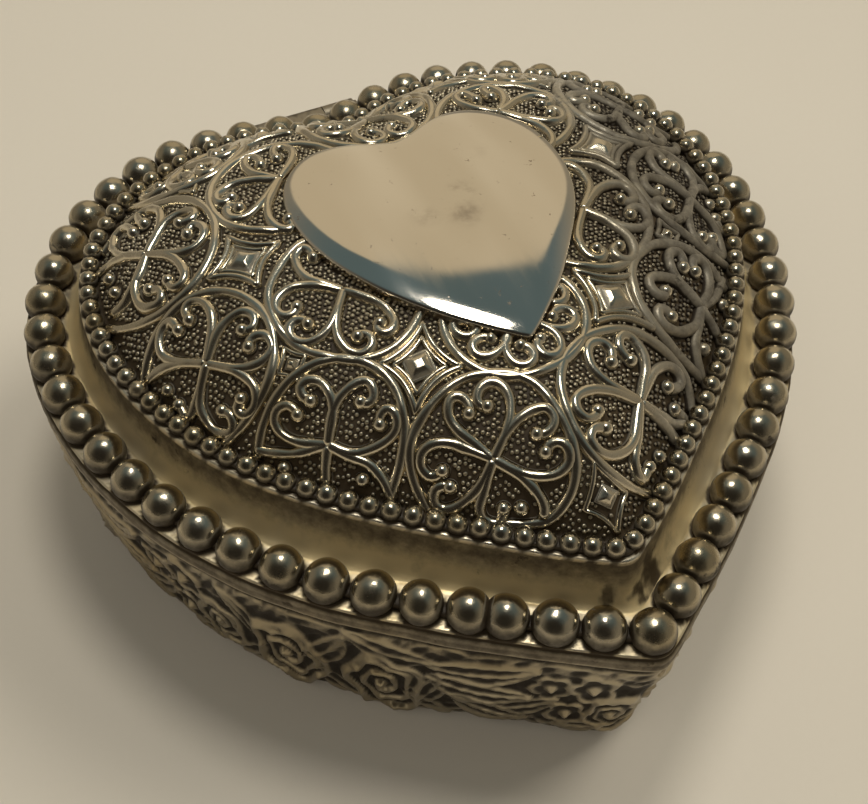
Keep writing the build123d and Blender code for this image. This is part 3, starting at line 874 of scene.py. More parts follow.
def heart(tip, angle, size=1.0, spread=(45.0, 45.0)):
    """Two strokes from the crossing, each sharing its first part with the neighbouring heart's."""
    c, s = math.cos(math.radians(angle)), math.sin(math.radians(angle))
    for side, beta in zip((1, -1), spread):
        beta = min(max(beta, 26.0), 50.0)
        w_ = (math.sin(math.radians(beta)) / math.sin(math.radians(45.0))) ** 0.75
        cb, sb = math.cos(math.radians(beta)), math.sin(math.radians(beta))
        shape = [(0.0, 0.0), (1.3 * cb, 1.3 * sb), (2.6 * cb, 2.6 * sb)] + [(x, y * w_) for x, y in HEART[2:]]
        pts_ = []
        for x, y in shape:
            X, Y = x * size, y * side * size
            pts_.append((tip[0] + c * X - s * Y, tip[1] + s * X + c * Y))
        line = catmull(pts_, 10)
        stroke(line, 0.68, 0.95, WIRE)
        e = np.array(pts_[-1])
        knob(e, 0.86, 0.98)


def line_mm(points, ball=None, half=0.68, height=0.95, closed_path=False):
    """A stroke through listed points, with a ball at its end or a named place."""
    if ball is not None and math.hypot(points[-1][0] - ball[0], points[-1][1] - ball[1]) < 2.3:
        points = list(points) + [ball]
    p = np.asarray(points, float) - [0, YC]
    if closed_path:
        q = catmull(np.vstack([p[-2:], p, p[:2]]), 10)
        n = len(p)
        q = q[20:20 + 10 * n]
    else:
        q = catmull(p, 10)
    stroke(q, half, height, WIRE, closed_path)
    if ball is not None:
        knob(np.array(ball) - [0, YC], 0.92, 1.10)


def ring(c, r, ry=None, phase=0.0):
    a = np.linspace(0, 2 * math.pi, 180, endpoint=False)
    ry = r if ry is None else ry
    wob = 1 + 0.012 * np.sin(3 * a + phase) + 0.010 * np.sin(2 * a + 2.1 * phase)
    stroke(np.stack([c[0] + r * wob * np.cos(a), c[1] + ry * wob * np.sin(a)], -1), 0.66, 0.84, WIRE, True, 0.42)


def astroid(c, reach, turn, bow):
    """Four concave sides between cusps, as one closed line."""
    out = []
    k = [np.array([c[0] + rr * math.cos(math.radians(turn + 90 * i)), c[1] + rr * math.sin(math.radians(turn + 90 * i))]) for i, rr in enumerate(reach)]
    for i in range(4):
        a, b = k[i], k[(i + 1) % 4]
        mid = (a + b) / 2
        toward = np.array(c) - mid
        t = np.linspace(0, 1, 16, endpoint=False)[:, None]
        out.append(a * (1 - t) + b * t + toward * bow * 4 * t * (1 - t))
    return np.vstack(out)


def pyramid(c, half, turn, h, cut=0.30):
    """Square boss with a stepped foot and a small flat top."""
    if dome_s(np.array([c]))[0] > 0.98:
        return
    p, nn = on_dome(np.array([c], float))
    n = nn[0]
    a = np.cross([0, 1, 0], n); a /= np.linalg.norm(a)
    b = np.cross(n, a)
    rows_ = []
    for k, z in ((1.22, -0.3), (1.20, 0.25), (1.08, 0.36), (1.0, 0.34), (0.96, 0.40), (cut, h), (cut * 0.7, h + 0.03)):
        ring_ = []
        for i in range(4):
            for f in np.linspace(0, 1, 5, endpoint=False):
                a0, a1 = math.radians(turn + 45 + 90 * i), math.radians(turn + 135 + 90 * i)
                x = (1 - f) * math.cos(a0) + f * math.cos(a1)
                y = (1 - f) * math.sin(a0) + f * math.sin(a1)
                ring_.append(p[0] + (a * x + b * y) * half * k * 1.414 + n * z)
        rows_.append(ring_)
    m = 20
    pts_ = np.vstack([np.array(r_) for r_ in rows_] + [(p[0] + n * (h + 0.03))[None]])
    g = np.concatenate([np.full(m, v) for v in (1.0, 0.7, 0.2, 0.55, 0.5, 0.05, 0.0)] + [np.zeros(1)])
    strap.add(pts_, grid_faces(7, m), fan(6 * m, m, 7 * m), g, 0.2)
    stroke_points.append(np.array([c]))
    stroke_half.append(np.array([half * 1.25]))


L = lambda x, y: (x, y - YC)
# strokes drawn point by point, left half and middle
LINES = [
    # front left four hearts
    ([(-9.1, -24.4), (-10.2, -22.3), (-11.2, -20.5), (-11.6, -18.8), (-11.0, -17.5), (-10.1, -17.3), (-9.4, -18.0), (-9.3, -19.1)], (-9.6, -19.5)),
    ([(-9.1, -24.4), (-7.3, -23.2), (-6.0, -21.9), (-5.2, -20.2), (-5.3, -18.6), (-6.2, -17.7), (-7.5, -17.8), (-8.3, -18.7), (-8.1, -19.5)], (-7.6, -19.8)),
    ([(-9.1, -24.4), (-7.3, -23.2), (-5.3, -22.5), (-3.5, -22.4), (-2.2, -22.9), (-1.9, -24.0), (-2.4, -24.8), (-3.4, -25.0)], (-4.2, -24.6)),
    ([(-9.1, -24.4), (-7.4, -26.5), (-5.5, -28.0), (-3.8, -28.7), (-2.4, -28.5), (-1.9, -27.6), (-2.2, -26.6), (-3.2, -26.1)], (-4.1, -26.5)),
    ([(-9.1, -24.4), (-7.4, -26.7), (-6.3, -28.8), (-6.0, -30.3), (-6.4, -31.0)], (-8.1, -29.2)),
    ([(-9.1, -24.4), (-10.9, -26.1), (-11.9, -27.0), (-11.6, -28.1), (-10.4, -29.0)], (-9.7, -28.3)),
    ([(-9.1, -24.4), (-11.2, -22.2), (-12.5, -20.9), (-14.0, -20.1), (-15.3, -20.1), (-15.9, -20.9), (-15.6, -22.0), (-14.9, -22.5)], (-14.1, -22.5)),
    ([(-9.1, -24.4), (-11.4, -25.6), (-13.5, -25.7), (-15.0, -25.2), (-15.8, -24.2), (-15.4, -23.4), (-14.6, -23.5)], (-13.9, -24.0)),
    # front right four hearts
    ([(8.6, -24.5), (6.2, -22.8), (5.2, -21.5), (4.8, -20.0), (5.2, -18.4), (6.3, -17.5), (7.6, -17.8), (8.0, -18.9)], (7.3, -20.1)),
    ([(8.6, -24.5), (10.2, -22.7), (11.4, -21.0), (11.8, -19.2), (11.3, -17.6), (10.2, -17.4), (9.3, -18.3), (9.3, -19.5)], (9.8, -20.2)),
    ([(8.6, -24.5), (6.5, -23.5), (4.6, -22.8), (2.5, -22.6), (1.0, -23.2), (0.6, -24.4), (1.1, -25.4), (2.2, -25.4)], (2.8, -24.9)),
    ([(8.6, -24.5), (6.3, -27.5), (4.4, -28.9), (2.4, -29.3), (0.9, -28.7), (0.5, -27.5), (1.2, -26.6), (2.1, -26.5)], (2.8, -26.7)),
    ([(8.6, -24.5), (6.4, -27.8), (5.0, -29.6), (4.7, -30.8), (5.3, -31.5)], (6.7, -30.4)),
    ([(8.6, -24.5), (11.0, -26.5), (12.2, -28.0), (11.9, -29.4), (10.7, -30.3)], (8.7, -29.4)),
    ([(8.6, -24.5), (10.8, -22.6), (12.6, -21.4), (14.6, -20.9), (15.7, -21.4), (15.6, -22.5), (14.6, -23.0)], (13.4, -23.0)),
    ([(8.6, -24.5), (10.6, -25.6), (12.6, -26.3), (14.4, -25.8)], (13.3, -25.0)),
]
TWIN = [
    # side of the front, four hearts
    ([(-23.6, -14.2), (-26.0, -12.3), (-27.3, -10.6), (-27.6, -9.2), (-27.0, -8.4), (-26.0, -8.6), (-25.4, -9.4)], (-25.3, -10.1)),
    ([(-23.6, -14.2), (-22.1, -12.3), (-21.6, -10.5), (-22.0, -8.8), (-23.0, -7.9), (-24.0, -8.0), (-24.1, -9.0)], (-23.6, -9.8)),
    ([(-23.6, -14.2), (-22.4, -12.4), (-21.0, -11.3), (-19.0, -10.9), (-17.8, -11.2), (-17.4, -12.2), (-17.8, -13.2), (-18.6, -13.3)], (-19.1, -12.8)),
    ([(-23.6, -14.2), (-21.9, -16.1), (-20.0, -17.0), (-18.0, -17.3), (-16.7, -16.8), (-16.4, -15.6), (-17.0, -14.8), (-17.8, -15.0)], (-18.2, -15.7)),
    ([(-23.6, -14.2), (-22.0, -16.3), (-20.5, -18.0), (-19.7, -20.0), (-19.5, -21.6)], (-21.6, -18.6)),
    ([(-23.6, -14.2), (-24.7, -15.9), (-25.3, -17.4)], None),
    ([(-23.6, -14.2), (-26.5, -12.9), (-28.8, -11.2), (-30.2, -9.8)], (-28.3, -12.9)),
    # left four hearts
    ([(-31.6, 0.7), (-34.0, 3.2), (-35.2, 5.2), (-35.0, 7.0), (-34.1, 8.1), (-33.2, 8.0), (-32.9, 7.0)], (-32.8, 6.3)),
    ([(-31.6, 0.7), (-29.8, 3.5), (-29.1, 5.5), (-29.4, 7.3), (-30.5, 8.3), (-31.4, 7.8)], (-31.4, 6.4)),
    ([(-31.6, 0.7), (-29.7, 2.6), (-28.0, 3.4), (-26.3, 3.4), (-25.4, 2.5), (-25.5, 1.3), (-26.2, 0.8)], (-27.0, 1.3)),
    ([(-31.6, 0.7), (-29.6, -1.6), (-28.0, -2.8), (-26.3, -3.2), (-25.0, -2.5), (-25.0, -1.0), (-25.8, -0.3), (-26.6, -0.3)], (-27.1, -0.9)),
    ([(-31.6, 0.7), (-33.3, -1.3), (-33.8, -3.0), (-33.4, -5.0), (-32.6, -6.3), (-31.6, -6.7), (-31.3, -5.6)], (-31.9, -4.5)),
    ([(-31.6, 0.7), (-29.6, -1.8), (-28.5, -3.8), (-28.2, -5.4), (-28.9, -6.6), (-30.0, -6.6), (-30.5, -5.6)], (-29.8, -5.0)),
    ([(-31.6, 0.7), (-34.0, 3.0), (-36.0, 4.3), (-37.6, 4.7)], (-36.1, 1.9)),
    ([(-31.6, 0.7), (-33.4, -1.2), (-35.2, -2.2)], (-35.6, -0.3)),
    # beside the plaque, four hearts
    ([(-15.4, 0.1), (-18.4, 2.4), (-20.5, 3.1), (-22.3, 2.6), (-22.9, 1.3), (-22.5, 0.1), (-21.5, -0.2)], (-20.8, 0.4)),
    ([(-15.4, 0.1), (-17.7, -2.9), (-19.4, -4.1), (-21.4, -4.2), (-22.6, -3.1), (-22.7, -1.7), (-21.8, -1.1), (-20.9, -1.5)], (-20.6, -2.2)),
    ([(-15.4, 0.1), (-17.6, -3.0), (-18.4, -5.2), (-18.1, -7.2), (-17.0, -8.3), (-15.7, -8.1), (-15.3, -7.0), (-15.9, -6.3)], (-16.5, -6.3)),
    ([(-15.4, 0.1), (-12.9, -2.9), (-12.1, -5.0), (-12.3, -6.7), (-13.3, -7.4), (-14.1, -7.0), (-14.2, -6.2)], (-13.7, -5.9)),
    ([(-15.4, 0.1), (-18.0, 3.0), (-18.6, 5.0), (-18.3, 7.0), (-17.2, 7.9), (-16.4, 7.2)], (-16.5, 6.0)),
    # widest part of the lobe, four hearts
    ([(-32.3, 18.7), (-34.5, 16.4), (-35.3, 14.3), (-35.1, 12.3), (-34.0, 11.3), (-33.1, 11.3), (-32.8, 12.5)], (-33.7, 13.7)),
    ([(-32.3, 18.7), (-30.3, 16.2), (-29.7, 14.0), (-29.8, 12.1), (-30.7, 11.2), (-31.6, 11.7)], (-31.6, 12.9)),
    ([(-32.3, 18.7), (-30.6, 20.6), (-28.8, 21.8), (-26.9, 22.0), (-25.6, 21.0), (-25.8, 20.0), (-26.7, 19.7)], (-27.6, 20.2)),
    ([(-32.3, 18.7), (-30.1, 16.3), (-28.1, 15.2), (-26.4, 15.7), (-25.6, 17.1), (-26.0, 18.3), (-26.8, 18.4)], (-27.5, 17.6)),
    ([(-32.3, 18.7), (-34.4, 21.6), (-35.0, 24.8), (-34.1, 27.3), (-32.8, 27.4), (-32.3, 25.8)], (-32.3, 24.4)),
    ([(-32.3, 18.7), (-29.8, 21.6), (-28.7, 24.4), (-29.4, 26.9), (-30.7, 27.2), (-31.0, 25.8)], (-30.8, 24.4)),
    ([(-32.3, 18.7), (-34.4, 21.4), (-36.3, 22.9), (-38.2, 23.4)], (-36.9, 20.4)),
    ([(-32.3, 18.7), (-34.4, 16.4), (-36.5, 15.2), (-38.2, 15.4)], (-37.0, 17.7)),
    # behind the plaque's shoulder, four hearts
    ([(-14.9, 20.2), (-18.0, 21.9), (-20.4, 22.5), (-22.2, 21.8), (-22.7, 20.6), (-22.1, 19.8)], (-21.0, 20.0)),
    ([(-14.9, 20.2), (-18.3, 17.2), (-20.6, 16.1), (-22.2, 16.7), (-22.4, 18.2), (-21.6, 18.8)], (-20.9, 17.8)),
    ([(-14.9, 20.2), (-17.0, 22.7), (-17.5, 24.8), (-16.9, 26.4), (-15.9, 26.4), (-15.6, 25.2)], (-15.8, 24.0)),
    ([(-14.9, 20.2), (-12.5, 22.5), (-11.5, 24.6), (-11.9, 26.3), (-13.0, 26.5), (-13.6, 25.4)], (-13.7, 24.1)),
    ([(-14.9, 20.2), (-17.6, 16.9), (-18.6, 14.2), (-18.1, 12.2), (-16.8, 11.5)], (-16.6, 13.0)),
]
for pts_, ball_ in LINES:
    line_mm(pts_, ball_)
for pts_, ball_ in TWIN:
    line_mm(pts_, ball_)
    line_mm([(-x, y) for x, y in pts_], None if ball_ is None else (-ball_[0], ball_[1]))
RINGS = [
    [(-9.0, -16.0), (-6.0, -16.7), (-3.4, -18.2), (-1.9, -20.4), (-1.3, -23.5), (-1.2, -26.5), (-1.9, -29.2), (-3.4, -30.9), (-5.6, -31.5), (-8.0, -30.6), (-10.2, -29.3), (-11.9, -28.2),
     (-14.3, -26.8), (-16.3, -24.9), (-17.0, -22.2), (-16.7, -19.9), (-15.4, -18.2), (-12.5, -16.7)],
    [(8.8, -16.4), (12.0, -17.0), (14.6, -18.9), (16.3, -21.0), (16.7, -23.4), (15.4, -25.8), (12.9, -28.2), (10.3, -30.4), (8.0, -32.0), (5.8, -32.6), (3.4, -32.2), (1.0, -30.4), (-0.3, -27.6),
     (-0.4, -24.4), (0.3, -21.2), (2.0, -18.8), (4.0, -17.4), (6.0, -16.6)],
    [(-15.5, 8.9), (-18.0, 8.3), (-20.7, 6.4), (-22.8, 3.9), (-23.5, 1.0), (-23.3, -2.0), (-22.0, -4.9), (-20.0, -7.0), (-17.5, -8.8), (-15.0, -9.4), (-12.5, -9.0), (-10.0, -7.4), (-8.0, -5.0),
     (-7.4, -1.0), (-8.0, 3.0), (-10.5, 7.0), (-13.0, 8.6)],
    [(15.6, 8.9), (18.5, 8.2), (21.5, 6.3), (23.0, 3.4), (23.5, 0.2), (22.7, -3.0), (20.6, -6.0), (17.6, -8.2), (14.5, -8.9), (11.6, -8.1), (9.3, -6.6), (8.0, -4.0), (7.5, 0.0), (8.4, 4.0),
     (10.8, 7.4), (13.0, 8.7)],
]
for r_ in RINGS:
    line_mm(r_, None, 0.66, 0.84, True)
# rings: (centre), radius across, radius along
for i, (c, r, ry) in enumerate((((-23.4, -14.4), 8.0, 7.9), ((22.9, -14.4), 8.1, 7.8), ((0.0, -11.2), 8.1, 7.8), ((-31.7, 0.8), 7.5, 8.1), ((31.7, 0.8), 7.5, 8.1),
                                ((-32.2, 18.7), 8.0, 9.0), ((32.2, 18.7), 8.0, 9.0), ((-15.2, 19.6), 8.5, 8.0), ((15.2, 19.6), 8.5, 8.0), ((0.4, 28.9), 8.5, 8.6), ((-22.8, 33.9), 8.0, 7.6), ((23.4, 33.9), 8.0, 7.6))):
    ring(L(*c), r, ry, phase=1.3 * i)
# hearts placed by angle: (crossing), [(angle, size)]
for c, hs in (((0.0, -11.2), [(-92, 1.0), (190, 1.0), (-9, 1.0), (90, 1.0)]), ((0.4, 28.9), [(-90, 1.14), (178, 1.05), (2, 1.05), (90, 1.05)]),
              ((-22.8, 33.9), [(-90, 1.0), (186, 0.98), (-6, 1.0), (90, 1.0)]), ((23.4, 33.9), [(-90, 1.0), (-6, 0.98), (186, 1.0), (90, 1.0)])):
    cc = L(*c)
    angs = sorted(a_ % 360 for a_, _ in hs)
    for ang, size in hs:
        k_ = angs.index(ang % 360)
        up_ = ((angs[(k_ + 1) % 4] - angs[k_]) % 360) / 2
        dn_ = ((angs[k_] - angs[k_ - 1]) % 360) / 2
        heart(cc, ang, size, (up_, dn_))
for c, reach, turn, half_, pturn in (((-12.1, -12.5), (5.2, 4.3, 4.8, 4.5), 60, 1.35, -4), ((12.2, -12.6), (4.2, 5.6, 4.9, 5.3), 32, 1.55, -4),
                                     ((-23.6, 9.8), (4.6, 4.2, 4.2, 4.4), 2, 1.45, 45), ((23.8, 9.9), (4.4, 4.2, 4.6, 4.2), -2, 1.45, 45),
                                     ((-12.3, 33.3), (4.4, 4.4, 4.4, 4.4), 40, 1.2, 0), ((12.9, 33.4), (4.4, 4.4, 4.4, 4.4), 50, 1.2, 0)):
    cc = L(*c)
    stroke(astroid(cc, reach, turn, 0.24), 0.44, 0.80, WIRE, True, 0.36)
    stroke(astroid(cc, [v * 0.66 for v in reach], turn, 0.18), 0.32, 0.62, WIRE, True, 0.34)
    pyramid(cc, half_, pturn, 0.95, 0.44)
for c, tri_r in (((0.0, -32.6), 2.5), ((-23.9, -5.4), 1.7), ((24.1, -5.4), 1.7), ((-24.3, 26.9), 1.9), ((24.8, 26.9), 1.9)):
    cc = L(*c)
    stroke(astroid(cc, (tri_r * 1.25, tri_r, tri_r * 1.25, tri_r), 90, 0.16), 0.30, 0.62, WIRE, True, 0.33)
    pyramid(cc, tri_r * 0.36, 45, 0.85, 0.35)
strap.build("dome_scrollwork", "lid", mat_relief)

# ---------------------------------------------------------------------------
# Stippled ground between the scrolls
# ---------------------------------------------------------------------------
cell = 0.1
gx0, gy0 = -42.0, -44.0
occ = np.zeros((880, 840), bool)   # rows y, cols x
for xy, hw in zip(stroke_points, stroke_half):
    for (x, y), h_ in zip(xy, hw):
        rr = int((h_ + 0.10) / cell)
        i, j = int((y - gy0) / cell), int((x - gx0) / cell)
        i0, i1, j0, j1 = max(i - rr, 0), min(i + rr + 1, occ.shape[0]), max(j - rr, 0), min(j + rr + 1, occ.shape[1])
        if i0 < i1 and j0 < j1:
            yy, xx = np.mgrid[i0:i1, j0:j1]
            occ[i0:i1, j0:j1] |= (yy - i) ** 2 + (xx - j) ** 2 <= rr * rr

pitch_g = 0.62
gx, gy = np.meshgrid(np.arange(-41, 41, pitch_g), np.arange(-43, 40, pitch_g * 0.866))
gx = gx + (np.arange(gx.shape[0])[:, None] % 2) * pitch_g / 2
cand = np.stack([gx.ravel(), gy.ravel()], -1)
cand += RNG.uniform(-0.14, 0.14, cand.shape)
s_c = dome_s(cand)
ij = ((cand - [gx0, gy0]) / cell).astype(int)
okay = (s_c < 0.992) & ~under_plaque(cand, 0.2) & ~occ[np.clip(ij[:, 1], 0, 879), np.clip(ij[:, 0], 0, 839)]
cand = cand[okay]
SEG = 7
g_rows = [(1.0, -0.45), (0.93, 0.25), (0.62, 0.82)]
tpl = [(k * math.cos(2 * math.pi * j / SEG + r_ * 0.45), k * math.sin(2 * math.pi * j / SEG + r_ * 0.45), z) for r_, (k, z) in enumerate(g_rows) for j in range(SEG)] + [(0, 0, 1.0)]
tpl = np.array(tpl)
tpl_q, tpl_t = grid_faces(3, SEG), fan(2 * SEG, SEG, 3 * SEG)


def granules(name, p, n, r, h, body, material):
    a = np.cross(np.tile([0.0, 1.0, 0.02], (len(n), 1)), n)
    a /= np.linalg.norm(a, axis=1)[:, None]
    b = np.cross(n, a)
    spin = np.random.default_rng(5).uniform(0, 2 * math.pi, len(p))
    ca, sa = np.cos(spin)[:, None], np.sin(spin)[:, None]
    a, b = a * ca + b * sa, b * ca - a * sa
    co_ = p[:, None] + a[:, None] * (tpl[None, :, 0] * r[:, None])[..., None] + b[:, None] * (tpl[None, :, 1] * r[:, None])[..., None] + n[:, None] * (tpl[None, :, 2] * h[:, None])[..., None]
    k = len(tpl)
    off = np.arange(len(p))[:, None, None] * k
    q = (tpl_q[None] + off).reshape(-1, 4)
    t = (tpl_t[None] + off).reshape(-1, 3)
    soup = Soup()
    top = np.tile(smoothstep(0.85, 0.0, tpl[:, 2]), len(p))
    uneven = np.repeat(np.random.default_rng(6).uniform(0.0, 0.35, len(p)), k)
    # painted shade: on the lid the granules get darker towards the right of the dome
    painted_right_shade = np.repeat(0.42 * smoothstep(8.0, 25.0, p[:, 0] - 0.3 * (p[:, 1] + YC)), k) if body == "lid" else 0.0
    soup.add(co_.reshape(-1, 3), q, t, np.clip(top + uneven + painted_right_shade, 0, 1), 0.4)
    return soup.build(name, body, material)


p, n = on_dome(cand)
count = len(p)
rad = RNG.uniform(0.25, 0.36, count)
granules("dome_stipple", p, n, rad, rad * RNG.uniform(0.90, 1.25, count), "lid", mat_stipple)
print("granules", count)

# ---------------------------------------------------------------------------
# Base: roses, leaves and stems round the wall
# ---------------------------------------------------------------------------
NU, NZ = 1080, 76
base_loop = smooth_loop(closed(shifted(BEAD_LINE, 0.0)))
PER = length(base_loop)
b_steps = stations(base_loop, np.arange(NU) / NU * PER)
B_BEAR = np.arctan2(b_steps[:, 1] - CY, b_steps[:, 0])
Z_ROWS = np.linspace(BASE_Z, PARTING_Z, NZ)
U, V = np.meshgrid(np.arange(NU) / NU * PER, Z_ROWS - BASE_Z)   # rows by height


def wrap_u(u):
    return (u + PER / 2) % PER - PER / 2


relief = np.zeros_like(U)
STRETCH = 1.45


def local(u0, v0, turn=0.0, sx=1.0, sy=STRETCH):
    x, y = wrap_u(U - u0) / sx, (V - v0) / sy
    c, s = math.cos(math.radians(turn)), math.sin(math.radians(turn))
    return x * c + y * s, -x * s + y * c


def stamp(h):
    global relief
    # smooth union so that motifs sit into each other
    k = 0.18
    d_ = np.clip(0.5 + 0.5 * (h - relief) / k, 0, 1)
    relief = relief * (1 - d_) + h * d_ + k * d_ * (1 - d_)
    relief = np.where(h <= 0, np.maximum(relief - 0.0, 0), relief)


def rose(u0, v0, R, turn, high=1.5, stretch=2.0):
    """Cupped petals in three turns round a bud, each with a raised lip."""
    x, y = local(u0, v0, 0.0, 1.0, stretch)
    q = np.hypot(x, y) / R
    a = np.arctan2(y, x) + math.radians(turn)
    e = q / (1 + 0.09 * np.cos(5 * a) + 0.03 * np.cos(2 * a + 1))
    phase = e * 3.0 - a / (2 * math.pi) + 0.13 * np.sin(5 * a + 5.0 * e)
    lip = (0.5 + 0.5 * np.cos(2 * math.pi * phase)) ** 1.7
    env = np.sqrt(np.clip(1 - (0.92 * e) ** 4, 0, 1))
    rim = np.exp(-((e - 0.92) / 0.11) ** 2)
    seam = np.exp(-(np.sin(2.5 * a + 1.2) / 0.16) ** 2) * smoothstep(0.5, 0.75, e) * (e < 0.9)
    bud = np.exp(-(e / 0.17) ** 2)
    h = high * (env * (0.28 + 0.62 * lip) + 0.42 * rim + 0.30 * bud + 0.22 * seam)
    stamp(np.where(e < 1.2, np.maximum(h, 0), 0))


def leaf(u0, v0, long, wide, turn, high=1.0, stretch=1.7):
    """Pointed leaf: raised edge and rib, hollow between, faint veins."""
    x, y = local(u0, v0, 0.0, 1.0, stretch)
    c_, s_ = math.cos(math.radians(turn)), math.sin(math.radians(turn))
    x, y = x * c_ + y * s_, -x * s_ + y * c_
    y = y - 0.10 * x * x / long * 2
    t = x / long
    half_ = wide * np.clip(1 - t ** 2, 0, 1) ** 0.7 * (1 - 0.25 * t)
    e = np.abs(y) / np.maximum(half_, 1e-3)
    inside = (np.abs(t) < 1) & (e < 1.25)
    edge_ = np.exp(-((e - 0.90) / 0.24) ** 2)
    rib = np.exp(-(y / 0.30) ** 2)
    veins = 0.5 + 0.5 * np.cos(2 * math.pi * (x / 1.9 - np.abs(y) / 1.6))
    h = high * (0.36 * np.clip(1 - e ** 4, 0, 1) + 0.62 * edge_ + 0.42 * rib + 0.10 * veins * (e < 0.85))
    stamp(np.where(inside, h, 0))


def vine(points, r, high, stretch=1.4):
    line = catmull(points, 8)
    best = np.full(U.shape, 1e9)
    for (a0, b0), (a1, b1) in zip(line[:-1], line[1:]):
        px, py = wrap_u(U - a0), (V - b0) / stretch
        dx, dy = a1 - a0, (b1 - b0) / stretch
        m2 = dx * dx + dy * dy
        if m2 < 1e-9:
            continue
        t = np.clip((px * dx + py * dy) / m2, 0, 1)
        best = np.minimum(best, np.hypot(px - t * dx, py - t * dy))
    stamp(np.where(best < r * 1.3, high * np.sqrt(np.clip(1 - (best / (r * 1.3)) ** 2, 0, 1)), 0))


def blossom(u0, v0, R, turn, high=1.1, stretch=1.7):
    x, y = local(u0, v0, 0.0, 1.0, stretch)
    q = np.hypot(x, y) / R
    a = np.arctan2(y, x) + math.radians(turn)
    lob = 0.70 + 0.30 * np.abs(np.cos(2.5 * a))
    e = q / lob
    h = high * (0.35 * np.clip(1 - e ** 4, 0, 1) + 0.62 * np.exp(-((e - 0.86) / 0.14) ** 2) + 0.75 * np.exp(-(q / 0.2) ** 2))
    stamp(np.where(e < 1.2, np.maximum(h, 0), 0))


def curl(u0, v0, size, flip, high=1.0):
    f = 1 if flip else -1
    vine([(u0 + f * x * size, v0 + y * size * 1.5) for x, y in ((-1.6, -1.3), (-0.2, -1.2), (0.9, -0.4), (0.8, 0.7), (-0.1, 1.0), (-0.7, 0.4), (-0.3, -0.2), (0.15, 0.1))], 0.34, high)


# one run of the pattern is UNIT long; it repeats round the wall, running back from the point
g = np.random.default_rng(77)
UNIT = PER / 6
for i in range(6):
    e0 = PER - i * UNIT
    j = lambda a_: float(g.uniform(-a_, a_))
    at = lambda f: e0 - f * UNIT
    # small leaves that fill the field behind the flowers
    for f in np.arange(0.02, 1.0, 0.068):
        leaf(at(f) + j(0.6), 21.2 + j(0.6), 3.1, 1.5, 18 + j(40), 0.85)
        leaf(at(f + 0.034) + j(0.6), 3.4 + j(0.6), 3.0, 1.5, -15 + j(40), 1.05)
        leaf(at(f) + j(0.6), 12.2 + j(3.0), 3.0, 1.5, 60 + j(50), 0.75)
    # small flowers and buds beside the point
    blossom(at(0.105), 17.6 + j(0.4), 3.0, j(30), 1.6)
    blossom(at(0.20), 16.4 + j(0.4), 2.7, j(30), 1.5)
    rose(at(0.035), 9.8, 3.1, j(30), 1.7)
    blossom(at(0.14), 7.8 + j(0.4), 2.8, j(30), 1.7)
    leaf(at(0.23), 9.2, 3.6, 1.6, 28, 1.6)
    leaf(at(0.09), 3.6, 3.2, 1.5, 12, 1.7)
    # the pair of long leaves
    leaf(at(0.355), 17.8, 6.2, 2.1, 10, 1.65)
    leaf(at(0.365), 11.6, 6.4, 2.2, -6, 1.8)
    leaf(at(0.335), 5.6, 5.2, 1.9, -16, 1.8)
    # rose with a long leaf arched over it
    leaf(at(0.575), 19.4, 5.6, 1.7, -12, 1.5)
    leaf(at(0.475), 9.4, 3.6, 1.7, 62, 1.7)
    leaf(at(0.49), 3.4, 3.6, 1.6, -30, 1.7)
    rose(at(0.595), 9.6 + j(0.4), 4.8, j(36), 2.1)
    # second rose
    leaf(at(0.72), 15.8, 4.0, 1.8, 48, 1.6)
    leaf(at(0.715), 4.4, 3.6, 1.7, -40, 1.7)
    rose(at(0.835), 10.6 + j(0.4), 4.6, j(36), 2.1)
    leaf(at(0.945), 17.4, 3.6, 1.6, 118, 1.5)
    leaf(at(0.945), 4.6, 3.4, 1.6, 38, 1.6)
fade = smoothstep(24.6, 23.0, V) * 1.0
fade_low = smoothstep(0.0, 2.2, V) * 0.60 + 0.40
UV3 = np.stack([U.ravel(), V.ravel()], -1)
low_wave = (0.5 + 0.5 * waves(UV3, 9.0, 51)).reshape(U.shape)
relief = relief * fade * fade_low


def blur(a, n):
    k = np.ones(2 * n + 1) / (2 * n + 1)
    a = np.apply_along_axis(lambda v: np.convolve(np.r_[v[-n:], v, v[:n]], k, "valid"), 1, a)
    return np.apply_along_axis(lambda v: np.convolve(np.r_[np.full(n, v[0]), v, np.full(n, v[-1])], k, "valid"), 0, a)


relief = 0.25 * relief + 0.75 * blur(blur(relief, 1), 1)
hollow = blur(blur(relief, 5), 5)
g_base = np.clip(0.62 - (relief - hollow) * 2.3 - relief * 0.08, 0, 1)
g_base = np.where(relief < 0.08, np.maximum(g_base, 0.9), g_base)
g_base = np.where(V > 23.4, 0.75, g_base)
side_r = np.stack([radial(shifted(BEAD_LINE, BASE_BOT_OUT + (z - BASE_Z) / (PARTING_Z - BASE_Z) * (BASE_TOP_OUT - BASE_BOT_OUT)))(B_BEAR) for z in Z_ROWS])
wall = np.stack([side_r * np.cos(B_BEAR), CY + side_r * np.sin(B_BEAR), np.repeat(Z_ROWS[:, None], NU, 1)], -1)
tang = np.roll(wall, -1, 1) - np.roll(wall, 1, 1)
nrm = np.stack([tang[..., 1], -tang[..., 0], np.zeros_like(side_r)], -1)
nrm /= np.linalg.norm(nrm, axis=2)[..., None]
out_mm = relief + 0.10 * low_wave * fade - 0.05
rolled = smoothstep(0.0, 0.8, V) * 0.6 - 0.6
surface = wall + nrm * (out_mm + rolled)[..., None]


def base_r(out):
    return radial(shifted(BEAD_LINE, out))(B_BEAR)


